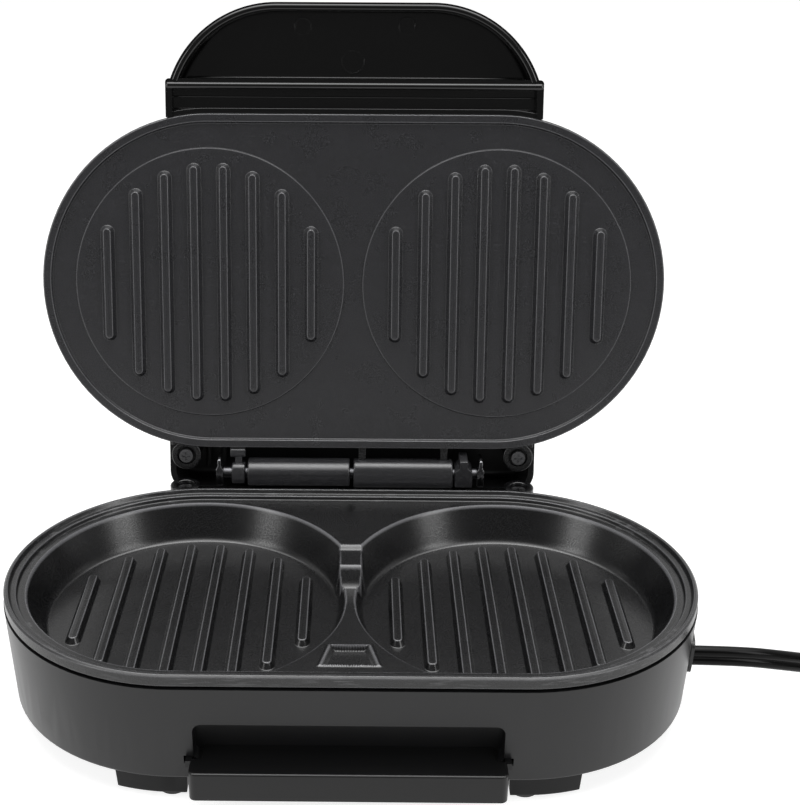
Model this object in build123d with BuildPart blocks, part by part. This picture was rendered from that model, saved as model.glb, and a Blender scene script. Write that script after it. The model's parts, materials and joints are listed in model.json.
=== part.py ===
from build123d import *
from math import asin, atan2, cos, degrees, pi, radians, sin, sqrt, tan
import os

os.makedirs("parts", exist_ok=True)

# A breakfast sandwich maker with two round wells, stored with its lid open.
# Millimetres, +Z up, +X to the right, the user at -Y. The table is at Z = 0, and the
# origin lies under the middle of the open machine.

# ---- driving dimensions -------------------------------------------------------------
rim_height = 48.5        # lower plate's rim above the table
well_spacing = 114.0     # between the two wells' centres
end_margin = 5.7         # from a well's mouth to the end of the grill plates
side_margin = 5.9        # and to their front and rear edges
rim_band = 3.5           # width of the raised rim
rim_step = 1.5           # how far the plate's field lies below its rim
rim_wall = 2.5           # height of the rim's outer wall
plate_skin = 3.0         # thickness of the cast plates

well_depth = 15.6        # floor of a well below the rim
mouth_radius = 58.7
well_flare = 5.6         # mouth's radius beyond the floor's
floor_fillet = 3.5
mouth_round = 1.2

rib_pitch = 11.5
rib_foot = 5.4           # width of a rib where it meets the floor
rib_height = 2.3
rib_draft = 29.0         # degrees
rib_margin = 5.3         # from the floor's edge to the ribs' ends

land_depth = 10.0        # front land between the wells, below the rim
land_width = 40.0        # metal left under the lands
bridge_width = 7.8
bridge_depth = 3.0       # top of the bridge below the rim
bridge_front = 12.4      # Y of the bridge's front and rear edges
bridge_rear = 23.8
spout_near = 42.5        # tapered pocket in the front land: distances from the centre line
spout_far = 30.5
spout_near_width = 18.8
spout_far_width = 13.1
spout_depth = 1.7

disc_radius = 53.4       # round fields of the upper plate
disc_rise = 0.7

shell_wall = 2.4
shell_margin = 1.0       # housing beyond the plates, each side
shell_top = 3.5          # housing's upper edge below the rim
base_floor = 39.5        # housing's lower edge below the rim
base_draft = 3.2         # degrees
lid_edge = 2.5           # lid shell's edge behind the upper plate's rim
lid_height = 30.0        # lid shell's roof behind the upper plate's rim
lid_draft = 4.0          # degrees
lid_roof_radius = 12.0

hinge_reach = 11.5       # hinge axis behind the plates' edge
hinge_z = 3.2            # and above the lower rim
open_angle = 101.9
closed_gap = 0.3         # between the two rims when the lid is down
barrel_diameter = 11.5
pin_diameter = 4.8
pin_clearance = 0.05     # radial
knuckle_gap = 0.6        # between neighbouring knuckles along the pin
barrel_end = 42.4        # outer end of the long barrels from the centre line
knuckle_width = 8.0
pin_cap_diameter = 8.6
pin_cap_width = 3.4

ear_shift = 10.7         # hinge-side ears of the plates beyond the centres of the round ends
ear_reach = 4.2          # their centres behind the plates' edge
ear_radius = 6.0
ear_thickness = 3.2
rail_width = 3.7         # hinge-side rail beyond the plates' edge
web_thickness = 2.8

hinge_box_margin = 1.0   # rear bump of the housing and the lid's skirt, beyond the ears
hinge_box_corner = 9.0
base_box_reach = 6.7     # its rear wall behind the hinge axis
base_box_top = 8.6       # below the rim
skirt_reach = 8.7        # skirt's rear wall behind the hinge axis
skirt_edge = 4.5         # skirt's lower edge behind the upper rim
stop_gap = 0.15
ramp_x = 55.0            # ramps on which the open lid's skirt rests
ramp_size = (7.0, 4.2, 4.5)
ramp_top = 6.0           # behind the upper rim
hook_x = 40.0            # hooks on the skirts of the plates
hook_size = (8.0, 1.2, 2.5)
hook_gap = 0.3

grip_overhang = 0.9      # finger ledge beyond the recess, each side
grip_depth = 8.2         # its front face beyond the housing's edge
grip_top = 30.0          # below the rim
grip_height = 10.3
grip_wall = 2.6
recess_width = 101.2
recess_top = 17.3
recess_depth = 7.3       # its back wall behind the housing's edge
recess_floor = 31.5
recess_corner = 3.0
recess_wall = 1.6

handle_width = 146.6     # lid handle: width of its root
lip_reach = 13.0         # outer face of its lip beyond the lid's edge
visor_reach = 28.7       # visor's front beyond the lip
visor_inset = 2.0        # visor in from the lip's ends, each side
visor_flat = 60.0
visor_depth = 15.0       # visor's skin behind the upper rim
handle_wall = 2.6
handle_front = 1.2       # visor's free edge behind the upper rim
handle_root = 6.0        # root's front face behind the upper rim
handle_seat = 0.2
lip_width = 3.4
handle_screw_x = 40.0
handle_screw_depth = 12.4

foot_overhang = 20.7     # feet: outer ends beyond the centres of the round ends
foot_length = 24.5
foot_depth = 14.0        # front to back
foot_inset = 1.2
foot_height = 7.5
pad_diameter = 10.0
pad_shift = 2.0          # pads and screw posts beyond the same centres
post_shift = 11.2
post_inset = 9.8         # and in from the housing's edge
post_radius = 4.6

screw_shank = 3.0        # M3 pan head screws
screw_head = 5.5
screw_head_height = 1.8
counterbore = 7.2
screw_play = 0.2         # radial, in the pieces that a screw passes through
screw_cross = (3.2, 0.8, 1.0)   # arms and depth of the cross recess
screw_thread = 0.15      # radial, from the named size to the shank that is drawn
screw_bite = 0.1         # radial, in the posts that it cuts into
plate_screw_length = 7.0
foot_screw_length = 12.0
handle_screw_length = 11.0

element_diameter = 6.6
element_gap = 0.2
element_overhang = 35.0  # heating loop's outer runs beyond the wells' centres
element_side = 30.0
element_tail = 10.0
element_end = 44.0
element_bend = 18.0
terminal_diameter = 2.4
terminal_length = 6.0
clip_thickness = 0.8
clip_width = 8.0

boss_y = 44.0            # bosses that carry the reflectors
boss_radius = 4.0
reflector_margin = 6.0   # beyond the heating loop, and beyond its own bosses
reflector_sheet = 0.8
reflector_lip = 3.0
reflector_gap = 9.4      # between a plate's back and its reflector

terminal_inset = 37.6    # terminal block in from the housing's end
terminal_rise = 1.2
terminal_size = (22.0, 14.0, 6.4)
thermostat_y = 8.0
thermostat_radius = 8.0
thermostat_height = 7.4
fuse_diameter = 4.0
lens_x = 9.0             # indicator lenses on the lid's roof
lens_y = 22.0
lens_radius = 4.0
fuse_length = 14.0
lead_diameter = 2.2
lamp_lead = 1.4

cord_diameter = 7.6      # flat two-core cord: its width
cord_exit_y = -9.0
cord_level = 26.5        # below the rim
gland_height = 13.0
gland_width = 12.0
gland_reach = 1.2
gland_lift = 2.1         # middle of the gland's flange above the cord
gland_neck = 9.6
cord_fit = 0.05          # radial, in the gland and the strain relief
relief_reach = 9.7       # its middle in from the outlet
relief_size = (6.0, 16.0)
cord_tail = 18.0         # cord's inner end beyond the terminal block's middle
coil_inner = 34.3        # radius of the coil's innermost turn
coil_pitch = 7.7         # from one turn to the next
coil_turns = 2
coil_climb = 80.0        # degrees over which the last stretch climbs on top of the turns
coil_shift = 25.0        # and then moves outwards to the plug
coil_lead = 29.0         # straight stretch from the tube's end to the outermost turn
tie_angle = -120.0
tie_width = 6.0
tie_thickness = 0.9
tie_gap = 0.3
plug_length = 30.0
plug_width = 24.0
plug_thickness = 13.0
plug_front_radius = 38.0  # middle of the plug's cord end from the coil's middle
blade_length = 17.0
blade_width = 6.3
blade_thickness = 1.5
blade_spacing = 12.7

# ---- places worked out from them -----------------------------------------------------
wells = (-well_spacing / 2, well_spacing / 2)
floor_radius = mouth_radius - well_flare
rib_reach = floor_radius - rib_margin
plate_length = well_spacing + 2 * (mouth_radius + mouth_round + end_margin)
plate_depth = 2 * (mouth_radius + mouth_round + side_margin)
plate_edge = plate_depth / 2
end_x = (plate_length - plate_depth) / 2
shell_length = plate_length + 2 * shell_margin
shell_depth = plate_depth + 2 * shell_margin
shell_edge = shell_depth / 2
hinge_y = plate_edge + hinge_reach
ear_x = end_x + ear_shift
ear_y = plate_edge + ear_reach
hinge_box_width = 2 * (ear_x + ear_radius + hinge_box_margin)
base_box_rear = hinge_y + base_box_reach
skirt_rear = hinge_y + skirt_reach
grip_reach = shell_edge + grip_depth
recess_back = shell_edge - recess_depth
handle_lip = shell_edge + lip_reach
handle_reach = handle_lip + visor_reach
visor_width = handle_width - 2 * visor_inset
post_x = end_x + post_shift
post_y = shell_edge - post_inset
terminal_x = shell_length / 2 - terminal_inset
cord_inner_end = terminal_x + cord_tail
lean_sin = sin(radians(open_angle))
lean_cos = cos(radians(open_angle))
lid_y = hinge_y - hinge_y * lean_cos + (closed_gap - hinge_z) * lean_sin
lid_z = hinge_z + hinge_y * lean_sin + (closed_gap - hinge_z) * lean_cos
roof_side = shell_edge - (lid_height - lid_edge) * tan(radians(lid_draft)) - lid_roof_radius
rear_reach = lid_y - lean_cos * roof_side + lean_sin * (lid_height - lid_roof_radius) + lid_roof_radius
base_y = (grip_reach - rear_reach) / 2

base_rim = Plane((0, base_y, rim_height))
lid_rim = Plane(
    (0, base_y + lid_y, rim_height + lid_z),
    x_dir=(1, 0, 0),
    z_dir=(0, -lean_sin, -lean_cos),
)
base_side = Plane(base_rim.origin, x_dir=(0, 1, 0), z_dir=(1, 0, 0))
base_front = Plane(base_rim.origin, x_dir=(1, 0, 0), z_dir=(0, -1, 0))
lid_hinge_z = closed_gap - hinge_z
end_radius = shell_edge - (cord_level - shell_top) * tan(radians(base_draft))
outlet_turn = asin(cord_exit_y / end_radius)
outlet_x = (shell_length - shell_depth) / 2 + end_radius * cos(outlet_turn)
outlet_down = radians(base_draft)
cord_outlet = Plane(
    base_rim.origin + (outlet_x, cord_exit_y, -cord_level),
    x_dir=(-sin(outlet_turn), cos(outlet_turn), 0),
    z_dir=(cos(outlet_turn) * cos(outlet_down), sin(outlet_turn) * cos(outlet_down), -sin(outlet_down)),
)
cord_rest = cord_diameter / 2 - rim_height
cord_route = [
    (cord_inner_end, cord_exit_y, -cord_level),
    (138.0, cord_exit_y, -cord_level),
    (162.0, -2.5, -33.2),
    (186.0, 11.0, cord_rest),
    (202.0, 19.6, cord_rest),
]


def below(depth):
    """Plane parallel to the lower plate's rim, a depth below it."""
    return base_rim.offset(-depth)


def behind(depth):
    """Plane parallel to the upper plate's rim, a depth behind it."""
    return lid_rim.offset(-depth)


def rib_rows():
    """Place and length of the ribs of both round fields, whose round ends touch one circle."""
    rows = []
    for middle in wells:
        for i in range(int((rib_reach - rib_foot) / rib_pitch + 0.5)):
            shift = (i + 0.5) * rib_pitch
            length = 2 * sqrt((rib_reach - rib_foot / 2) ** 2 - shift**2) + rib_foot
            rows += [(middle - shift, length), (middle + shift, length)]
    return rows


# ---- lower grill plate ---------------------------------------------------------------
skirt_inset = 2.2
skirt_thickness = 2.0
skirt_depth = 9.0
rail_root = 8.0          # rails and ears reach this far under the plates
rail_step = 2.5          # lower rail stops short of the upper one
ear_root = 8.5
web_root = 4.0
hook_level = skirt_depth - 2.0
seat = screw_head_height + 0.2   # bottom of the screws' counterbores
boss_bore = 1.6
cup_draft = (mouth_radius - floor_radius) / (well_depth - rim_step)
cup_floor = well_depth + plate_skin
left_barrel = (-barrel_end, -0.9)
right_barrel = (-0.9 + knuckle_gap + 0.9, barrel_end - 1.5)
left_knuckle = (left_barrel[0] - knuckle_gap - knuckle_width, left_barrel[0] - knuckle_gap)
right_lug = (right_barrel[1] + knuckle_gap, right_barrel[1] + knuckle_gap + knuckle_width)


def locating_skirt(level):
    """Thin wall under a plate's edge, drawn into the part that is being built."""
    outer = 2 * skirt_inset
    inner = outer + 2 * skirt_thickness
    with BuildSketch(level(rim_step + 1)) as wall:
        SlotOverall(plate_length - outer, plate_depth - outer)
        SlotOverall(plate_length - inner, plate_depth - inner, mode=Mode.SUBTRACT)
    extrude(wall.sketch, amount=rim_step + 1 - skirt_depth)


with BuildPart(base_rim) as lower_grill_plate:
    with BuildSketch(below(rim_wall)):
        SlotOverall(plate_length, plate_depth)
    extrude(amount=rim_wall)
    with BuildSketch(below(rim_step + plate_skin)):
        SlotOverall(plate_length - 2 * skirt_inset, plate_depth - 2 * skirt_inset)
    extrude(amount=plate_skin)
    for middle in wells:
        with Locations((middle, 0, -cup_floor)):
            Cone(
                floor_radius + plate_skin,
                mouth_radius + plate_skin - 0.6,
                cup_floor - rim_step,
                align=(Align.CENTER, Align.CENTER, Align.MIN),
            )
    land_block = land_depth + plate_skin - rim_step
    with Locations((0, 0, -land_depth - plate_skin)):
        Box(land_width, 2 * mouth_radius, land_block, align=(Align.CENTER, Align.CENTER, Align.MIN))
    with Locations((0, -mouth_radius - plate_skin, -land_depth - plate_skin)):
        Box(well_spacing, land_width / 2, land_block, align=(Align.CENTER, Align.MIN, Align.MIN))
    with BuildSketch(below(rim_step)):
        SlotOverall(plate_length - 2 * rim_band, plate_depth - 2 * rim_band)
    extrude(amount=rim_step, mode=Mode.SUBTRACT)
    for middle in wells:
        with BuildSketch(Plane(base_rim.origin + (middle, 0, 0), x_dir=(1, 0, 0), z_dir=(0, -1, 0))):
            with BuildLine():
                mouth = (mouth_radius, -rim_step)
                Polyline(
                    (0, -well_depth),
                    (floor_radius, -well_depth),
                    mouth,
                    (mouth_radius + mouth_round, -rim_step),
                    (mouth_radius + mouth_round, rim_step),
                    (0, rim_step),
                    close=True,
                )
            make_face()
            floor_corner = vertices().sort_by(Axis.Y)[:2].sort_by(Axis.X)[-1]
            fillet(floor_corner, floor_fillet)
        revolve(axis=Axis(base_rim.origin + (middle, 0, 0), (0, 0, 1)), mode=Mode.SUBTRACT)
    # the bridge between the wells, and the lower land in front of it
    slope = land_depth - bridge_depth
    with Locations((0, bridge_front - slope, -land_depth - 1)):
        Box(
            bridge_width,
            bridge_rear + 6 - bridge_front + slope,
            land_depth + 1 - rim_step,
            align=(Align.CENTER, Align.MIN, Align.MIN),
        )
    land_front = mouth_radius - cup_draft * (land_depth - rim_step)
    with BuildSketch(base_side):
        with BuildLine():
            Polyline(
                (-land_front, -land_depth),
                (bridge_front - slope, -land_depth),
                (bridge_front, -bridge_depth),
                (bridge_rear, -bridge_depth),
                (bridge_rear + bridge_depth - rim_step, -rim_step),
                (bridge_rear + bridge_depth - rim_step, rim_step),
                (-mouth_radius - mouth_round, rim_step),
                (-mouth_radius - mouth_round, -rim_step),
                (-mouth_radius, -rim_step),
                close=True,
            )
        make_face()
    extrude(amount=well_spacing / 2, both=True, mode=Mode.SUBTRACT)
    with BuildSketch(below(land_depth)):
        with BuildLine():
            Polyline(
                (-spout_far_width / 2, -spout_far),
                (spout_far_width / 2, -spout_far),
                (spout_near_width / 2, -spout_near),
                (-spout_near_width / 2, -spout_near),
                close=True,
            )
        make_face()
    extrude(amount=-spout_depth, taper=25, mode=Mode.SUBTRACT)
    with BuildSketch(below(well_depth)):
        for rib_x, rib_length in rib_rows():
            with Locations((rib_x, 0)):
                SlotOverall(rib_length, rib_foot, rotation=90)
    extrude(amount=rib_height, taper=rib_draft)
    # hinge side: rail, screw ears, the left barrel and the right lug
    with Locations((0, plate_edge - rail_root, -web_thickness)):
        Box(
            2 * (ear_x + ear_radius),
            rail_width + rail_root - rail_step,
            web_thickness - 0.3,
            align=(Align.CENTER, Align.MIN, Align.MIN),
        )
    for side in (-1, 1):
        with Locations((side * ear_x, ear_y, -ear_thickness)):
            Cylinder(ear_radius, ear_thickness, align=(Align.CENTER, Align.CENTER, Align.MIN))
        with Locations((side * ear_x, ear_y, -ear_thickness)):
            Box(2 * ear_radius, ear_root, ear_thickness, align=(Align.CENTER, Align.MAX, Align.MIN))
    for start, end in (left_barrel, right_lug):
        with Locations((start, hinge_y, hinge_z)):
            Cylinder(
                barrel_diameter / 2,
                end - start,
                rotation=(0, 90, 0),
                align=(Align.CENTER, Align.CENTER, Align.MIN),
            )
        with Locations((start, hinge_y, -web_thickness)):
            Box(
                end - start,
                hinge_reach + web_root,
                web_thickness,
                align=(Align.MIN, Align.MAX, Align.MIN),
            )
    for start, end in (left_barrel, right_lug):
        with Locations((start - 0.1, hinge_y, hinge_z)):
            Cylinder(
                pin_diameter / 2 + pin_clearance,
                end - start + 0.2,
                rotation=(0, 90, 0),
                align=(Align.CENTER, Align.CENTER, Align.MIN),
                mode=Mode.SUBTRACT,
            )
    for side in (-1, 1):
        with Locations((side * ear_x, ear_y, 0)):
            CounterBoreHole(screw_shank / 2 + screw_play, counterbore / 2, seat, ear_root)
    # underside: locating skirt, its front hooks and the reflector's bosses
    locating_skirt(below)
    for side in (-1, 1):
        with Locations((side * hook_x, skirt_inset - plate_edge, -hook_level)):
            Box(*hook_size, align=(Align.CENTER, Align.MAX, Align.CENTER))
        with Locations((0, side * boss_y, -cup_floor - reflector_gap)):
            Cylinder(
                boss_radius,
                cup_floor + reflector_gap - land_depth - plate_skin / 2,
                align=(Align.CENTER, Align.CENTER, Align.MIN),
            )
        with Locations((0, side * boss_y, -cup_floor - reflector_gap - 0.01)):
            Cylinder(boss_bore, 8, align=(Align.CENTER, Align.CENTER, Align.MIN), mode=Mode.SUBTRACT)
lower_grill_plate.part.label = "lower_grill_plate"
export_step(lower_grill_plate.part, "parts/lower_grill_plate.step")

# ---- upper grill plate ---------------------------------------------------------------
upper_back = rim_step + plate_skin + 0.5
with BuildPart(lid_rim) as upper_grill_plate:
    with BuildSketch(behind(0)):
        SlotOverall(plate_length, plate_depth)
    extrude(amount=-rim_wall)
    with BuildSketch(behind(rim_step)):
        SlotOverall(plate_length - 2 * skirt_inset, plate_depth - 2 * skirt_inset)
    extrude(amount=rim_step - upper_back)
    with BuildSketch(behind(0)):
        SlotOverall(plate_length - 2 * rim_band, plate_depth - 2 * rim_band)
    extrude(amount=-rim_step, mode=Mode.SUBTRACT)
    with BuildSketch(behind(rim_step)):
        with Locations(*[(middle, 0) for middle in wells]):
            Circle(disc_radius + disc_rise / 2)
    extrude(amount=disc_rise, taper=35)
    with BuildSketch(behind(rim_step - disc_rise)):
        for rib_x, rib_length in rib_rows():
            with Locations((rib_x, 0)):
                SlotOverall(rib_length, rib_foot, rotation=90)
    extrude(amount=rib_height, taper=rib_draft)
    # hinge side
    with Locations((0, rail_root - plate_edge, -web_thickness)):
        Box(
            2 * (ear_x + ear_radius),
            rail_width + rail_root,
            web_thickness - 1.2,
            align=(Align.CENTER, Align.MAX, Align.MIN),
        )
    for side in (-1, 1):
        with Locations((side * ear_x, -ear_y, -ear_thickness)):
            Cylinder(ear_radius, ear_thickness, align=(Align.CENTER, Align.CENTER, Align.MIN))
        with Locations((side * ear_x, -ear_y, -ear_thickness)):
            Box(2 * ear_radius, ear_root, ear_thickness, align=(Align.CENTER, Align.MIN, Align.MIN))
    for start, end in (right_barrel, left_knuckle):
        with Locations((start, -hinge_y, lid_hinge_z)):
            Cylinder(
                barrel_diameter / 2,
                end - start,
                rotation=(0, 90, 0),
                align=(Align.CENTER, Align.CENTER, Align.MIN),
            )
        with Locations((start, -hinge_y, -web_thickness)):
            Box(
                end - start,
                hinge_reach + web_root,
                web_thickness,
                align=(Align.MIN, Align.MIN, Align.MIN),
            )
    for start, end in (right_barrel, left_knuckle):
        with Locations((start - 0.1, -hinge_y, lid_hinge_z)):
            Cylinder(
                pin_diameter / 2 + pin_clearance,
                end - start + 0.2,
                rotation=(0, 90, 0),
                align=(Align.CENTER, Align.CENTER, Align.MIN),
                mode=Mode.SUBTRACT,
            )
    for side in (-1, 1):
        with Locations((side * ear_x, -ear_y, 0)):
            CounterBoreHole(screw_shank / 2 + screw_play, counterbore / 2, seat, ear_root)
    locating_skirt(behind)
    for side in (-1, 1):
        with Locations((side * hook_x, plate_edge - skirt_inset, -hook_level)):
            Box(*hook_size, align=(Align.CENTER, Align.MIN, Align.CENTER))
        with Locations((0, side * boss_y, -upper_back - reflector_gap)):
            Cylinder(boss_radius, reflector_gap + 0.5, align=(Align.CENTER, Align.CENTER, Align.MIN))
        with Locations((0, side * boss_y, -upper_back - reflector_gap - 0.01)):
            Cylinder(boss_bore, 8, align=(Align.CENTER, Align.CENTER, Align.MIN), mode=Mode.SUBTRACT)
upper_grill_plate.part.label = "upper_grill_plate"
export_step(upper_grill_plate.part, "parts/upper_grill_plate.step")

# ---- hinge pin and its end caps --------------------------------------------------------
pin_start = left_knuckle[0] - 1.0 - pin_cap_width
pin_end = right_lug[1] + 1.0 + pin_cap_width
with BuildPart(base_rim) as hinge_pin:
    with Locations((pin_start + 0.6, hinge_y, hinge_z)):
        Cylinder(
            pin_diameter / 2,
            pin_end - pin_start - 1.2,
            rotation=(0, 90, 0),
            align=(Align.CENTER, Align.CENTER, Align.MIN),
        )
hinge_pin.part.label = "hinge_pin"
export_step(hinge_pin.part, "parts/hinge_pin.step")

for cap_name, cap_start, cap_open in (
    ("pin_cap_left", pin_start, 1.0),
    ("pin_cap_right", pin_end - pin_cap_width, -1.0),
):
    with BuildPart(base_rim) as pin_cap:
        with Locations((cap_start, hinge_y, hinge_z)):
            Cylinder(
                pin_cap_diameter / 2,
                pin_cap_width,
                rotation=(0, 90, 0),
                align=(Align.CENTER, Align.CENTER, Align.MIN),
            )
        fillet(edges().filter_by(GeomType.CIRCLE), 0.6)
        with Locations((cap_start + 0.6 * cap_open, hinge_y, hinge_z)):
            Cylinder(
                pin_diameter / 2,
                pin_cap_width,
                rotation=(0, 90, 0),
                align=(Align.CENTER, Align.CENTER, Align.MIN),
                mode=Mode.SUBTRACT,
            )
    pin_cap.part.label = cap_name
    export_step(pin_cap.part, f"parts/{cap_name}.step")

# ---- base housing --------------------------------------------------------------------
base_wall_height = base_floor - shell_top
floor_inset = base_wall_height * tan(radians(base_draft))
inner_width = hinge_box_width - 2 * shell_wall
box_front = shell_edge - 16.8
shelf_y = plate_edge - skirt_inset - skirt_thickness + 0.3
shelf_x = well_spacing / 2 - 4
post_height = 12.0
hook_slot = (hook_size[0] + 2 * hook_gap, hook_size[1] + hook_gap, hook_size[2] + 2 * hook_gap)
post_web = (6.5, 3.2, post_height)
with BuildPart(base_rim) as base_shell:
    with BuildSketch(below(shell_top)):
        SlotOverall(shell_length, shell_depth)
    extrude(amount=-base_wall_height, taper=base_draft)
    fillet(edges().group_by(Axis.Z)[0], 1.2)
    with BuildSketch(below(base_box_top)):
        with Locations((0, box_front)):
            Rectangle(hinge_box_width, base_box_rear - box_front, align=(Align.CENTER, Align.MIN))
        fillet(vertices().group_by(Axis.Y)[-1], hinge_box_corner)
    extrude(amount=base_box_top - base_floor)
    with BuildSketch(below(shell_top)):
        SlotOverall(shell_length - 2 * shell_wall, shell_depth - 2 * shell_wall)
    extrude(amount=-base_wall_height, taper=base_draft, mode=Mode.SUBTRACT)
    with BuildSketch(below(base_box_top + shell_wall)):
        with Locations((0, box_front)):
            Rectangle(inner_width, base_box_rear - shell_wall - box_front, align=(Align.CENTER, Align.MIN))
        fillet(vertices().group_by(Axis.Y)[-1], hinge_box_corner - shell_wall)
    extrude(amount=base_box_top + shell_wall - base_floor, mode=Mode.SUBTRACT)
    # finger recess behind the ledge: a closed pocket in the front wall
    with Locations((0, -recess_back + recess_wall, -recess_top + recess_wall)):
        Box(
            recess_width + 2 * recess_wall,
            recess_depth - shell_wall + recess_wall,
            recess_floor - recess_top + 2 * recess_wall,
            align=(Align.CENTER, Align.MAX, Align.MAX),
        )
    with BuildSketch(base_front.offset(recess_back)):
        with Locations((0, -(recess_top + recess_floor) / 2)):
            RectangleRounded(recess_width, recess_floor - recess_top, recess_corner)
    extrude(amount=recess_depth + 2, mode=Mode.SUBTRACT)
    # notches that the ledge's end hooks pass through
    for side in (-1, 1):
        with Locations((side * (recess_width / 2 + recess_wall), -shell_edge, -grip_top)):
            Box(3.2, 14, 3.0, align=(Align.CENTER, Align.CENTER, Align.MAX), mode=Mode.SUBTRACT)
    # posts for the feet's screws, shelves under the plate's skirt and ear bosses
    for side in (-1, 1):
        for end in (-1, 1):
            with Locations((side * post_x, end * post_y, -base_floor + shell_wall)):
                Cylinder(post_radius, post_height, align=(Align.CENTER, Align.CENTER, Align.MIN))
            with Locations((side * post_x, end * post_y, -base_floor)):
                Cylinder(
                    screw_shank / 2 - screw_bite,
                    post_height,
                    align=(Align.CENTER, Align.CENTER, Align.MIN),
                    mode=Mode.SUBTRACT,
                )
            with Locations((side * (post_x + 2), end * (post_y + 3), -base_floor + shell_wall)):
                Box(*post_web, align=(Align.CENTER, Align.CENTER, Align.MIN))
            with Locations((side * shelf_x, end * shelf_y, -skirt_depth)):
                shelf = (Align.CENTER, Align.MIN if end > 0 else Align.MAX, Align.MAX)
                Box(10, skirt_thickness + 0.6, 6, align=shelf)
        with Locations((side * ear_x, ear_y, -base_box_top - shell_wall)):
            Cylinder(
                ear_radius - 1,
                base_box_top + shell_wall - ear_thickness,
                align=(Align.CENTER, Align.CENTER, Align.MIN),
            )
        with Locations((side * ear_x, ear_y, -ear_thickness)):
            Cylinder(
                screw_shank / 2 - screw_bite,
                plate_screw_length,
                align=(Align.CENTER, Align.CENTER, Align.MAX),
                mode=Mode.SUBTRACT,
            )
        with Locations((side * hook_x, skirt_inset - plate_edge, -hook_level)):
            Box(*hook_slot, align=(Align.CENTER, Align.MAX, Align.CENTER), mode=Mode.SUBTRACT)
    # two ramps on which the open lid's skirt rests
    with BuildSketch(behind(ramp_top)):
        with Locations((-ramp_x, -skirt_rear - stop_gap), (ramp_x, -skirt_rear - stop_gap)):
            Rectangle(ramp_size[0], ramp_size[1], align=(Align.CENTER, Align.MAX))
    extrude(amount=-ramp_size[2])
    # cord outlet in the right-hand end
    with Locations((outlet_x, cord_exit_y, -cord_level)):
        Cylinder(gland_neck / 2 + cord_fit, 16, rotation=(0, 90, 0), mode=Mode.SUBTRACT)
base_shell.part.label = "base_shell"
export_step(base_shell.part, "parts/base_shell.step")

# ---- finger ledge at the front of the base ---------------------------------------------
ledge_root = shell_edge + 0.2
grip_width = recess_width + 2 * grip_overhang
with BuildPart(base_rim) as base_grip:
    with Locations((0, -ledge_root, -grip_top)):
        Box(
            grip_width,
            grip_reach - ledge_root,
            grip_height,
            align=(Align.CENTER, Align.MAX, Align.MAX),
        )
    fillet(edges().filter_by(Axis.Z).group_by(Axis.Y)[0], 2.4)
    fillet(edges().group_by(Axis.Z)[-1].sort_by(Axis.Y)[0], 0.8)
    with Locations((0, -ledge_root + 1, -grip_top - grip_wall)):
        Box(
            grip_width - 2 * grip_wall,
            grip_reach - ledge_root - grip_wall + 1,
            grip_height,
            align=(Align.CENTER, Align.MAX, Align.MAX),
            mode=Mode.SUBTRACT,
        )
    with Locations((0, -ledge_root - 1, -grip_top)):
        Box(
            recess_width - 2 * recess_corner,
            ledge_root + 1 - recess_back - 0.2,
            1.3,
            align=(Align.CENTER, Align.MIN, Align.MAX),
        )
    for side in (-1, 1):
        with Locations((side * (recess_width / 2 + recess_wall - 0.2), -ledge_root - 1, -grip_top - 0.2)):
            Box(2.2, 6.4, 2.4, align=(Align.CENTER, Align.MIN, Align.MAX))
base_grip.part.label = "base_grip"
export_step(base_grip.part, "parts/base_grip.step")

# ---- bottom cover, feet and their pads --------------------------------------------------
cover_gap = 0.3
corner_cut = 12.0        # clears the hinge box's round corners
vent_length = 46.0
vent_width = 3.2
vent_pitch = 12.0
vent_count = 9
foot_seat = 3.0          # foot's thickness under its screw's head
foot_middle = end_x + foot_overhang - foot_length / 2
cover_side = 2 * (shell_wall + floor_inset + cover_gap)
with BuildPart(base_rim) as bottom_cover:
    with BuildSketch(below(base_floor)):
        SlotOverall(shell_length - cover_side, shell_depth - cover_side)
        with Locations((0, box_front)):
            Rectangle(
                inner_width - 2 * cover_gap,
                base_box_rear - shell_wall - cover_gap - box_front,
                align=(Align.CENTER, Align.MIN),
            )
        with Locations((0, base_box_rear - shell_wall - cover_gap)):
            with GridLocations(inner_width - 2 * cover_gap, 0, 2, 1):
                Rectangle(corner_cut, corner_cut, rotation=45, mode=Mode.SUBTRACT)
        with GridLocations(vent_pitch, 0, vent_count, 1):
            SlotOverall(vent_length, vent_width, rotation=90, mode=Mode.SUBTRACT)
        with GridLocations(2 * post_x, 2 * post_y, 2, 2):
            Circle(screw_shank / 2 + screw_play, mode=Mode.SUBTRACT)
    extrude(amount=shell_wall)
    with Locations((terminal_x, cord_exit_y, -base_floor + shell_wall)):
        Box(
            terminal_size[0] - 2,
            terminal_size[1] - 2,
            terminal_rise,
            align=(Align.CENTER, Align.CENTER, Align.MIN),
        )
bottom_cover.part.label = "bottom_cover"
export_step(bottom_cover.part, "parts/bottom_cover.step")

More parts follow.
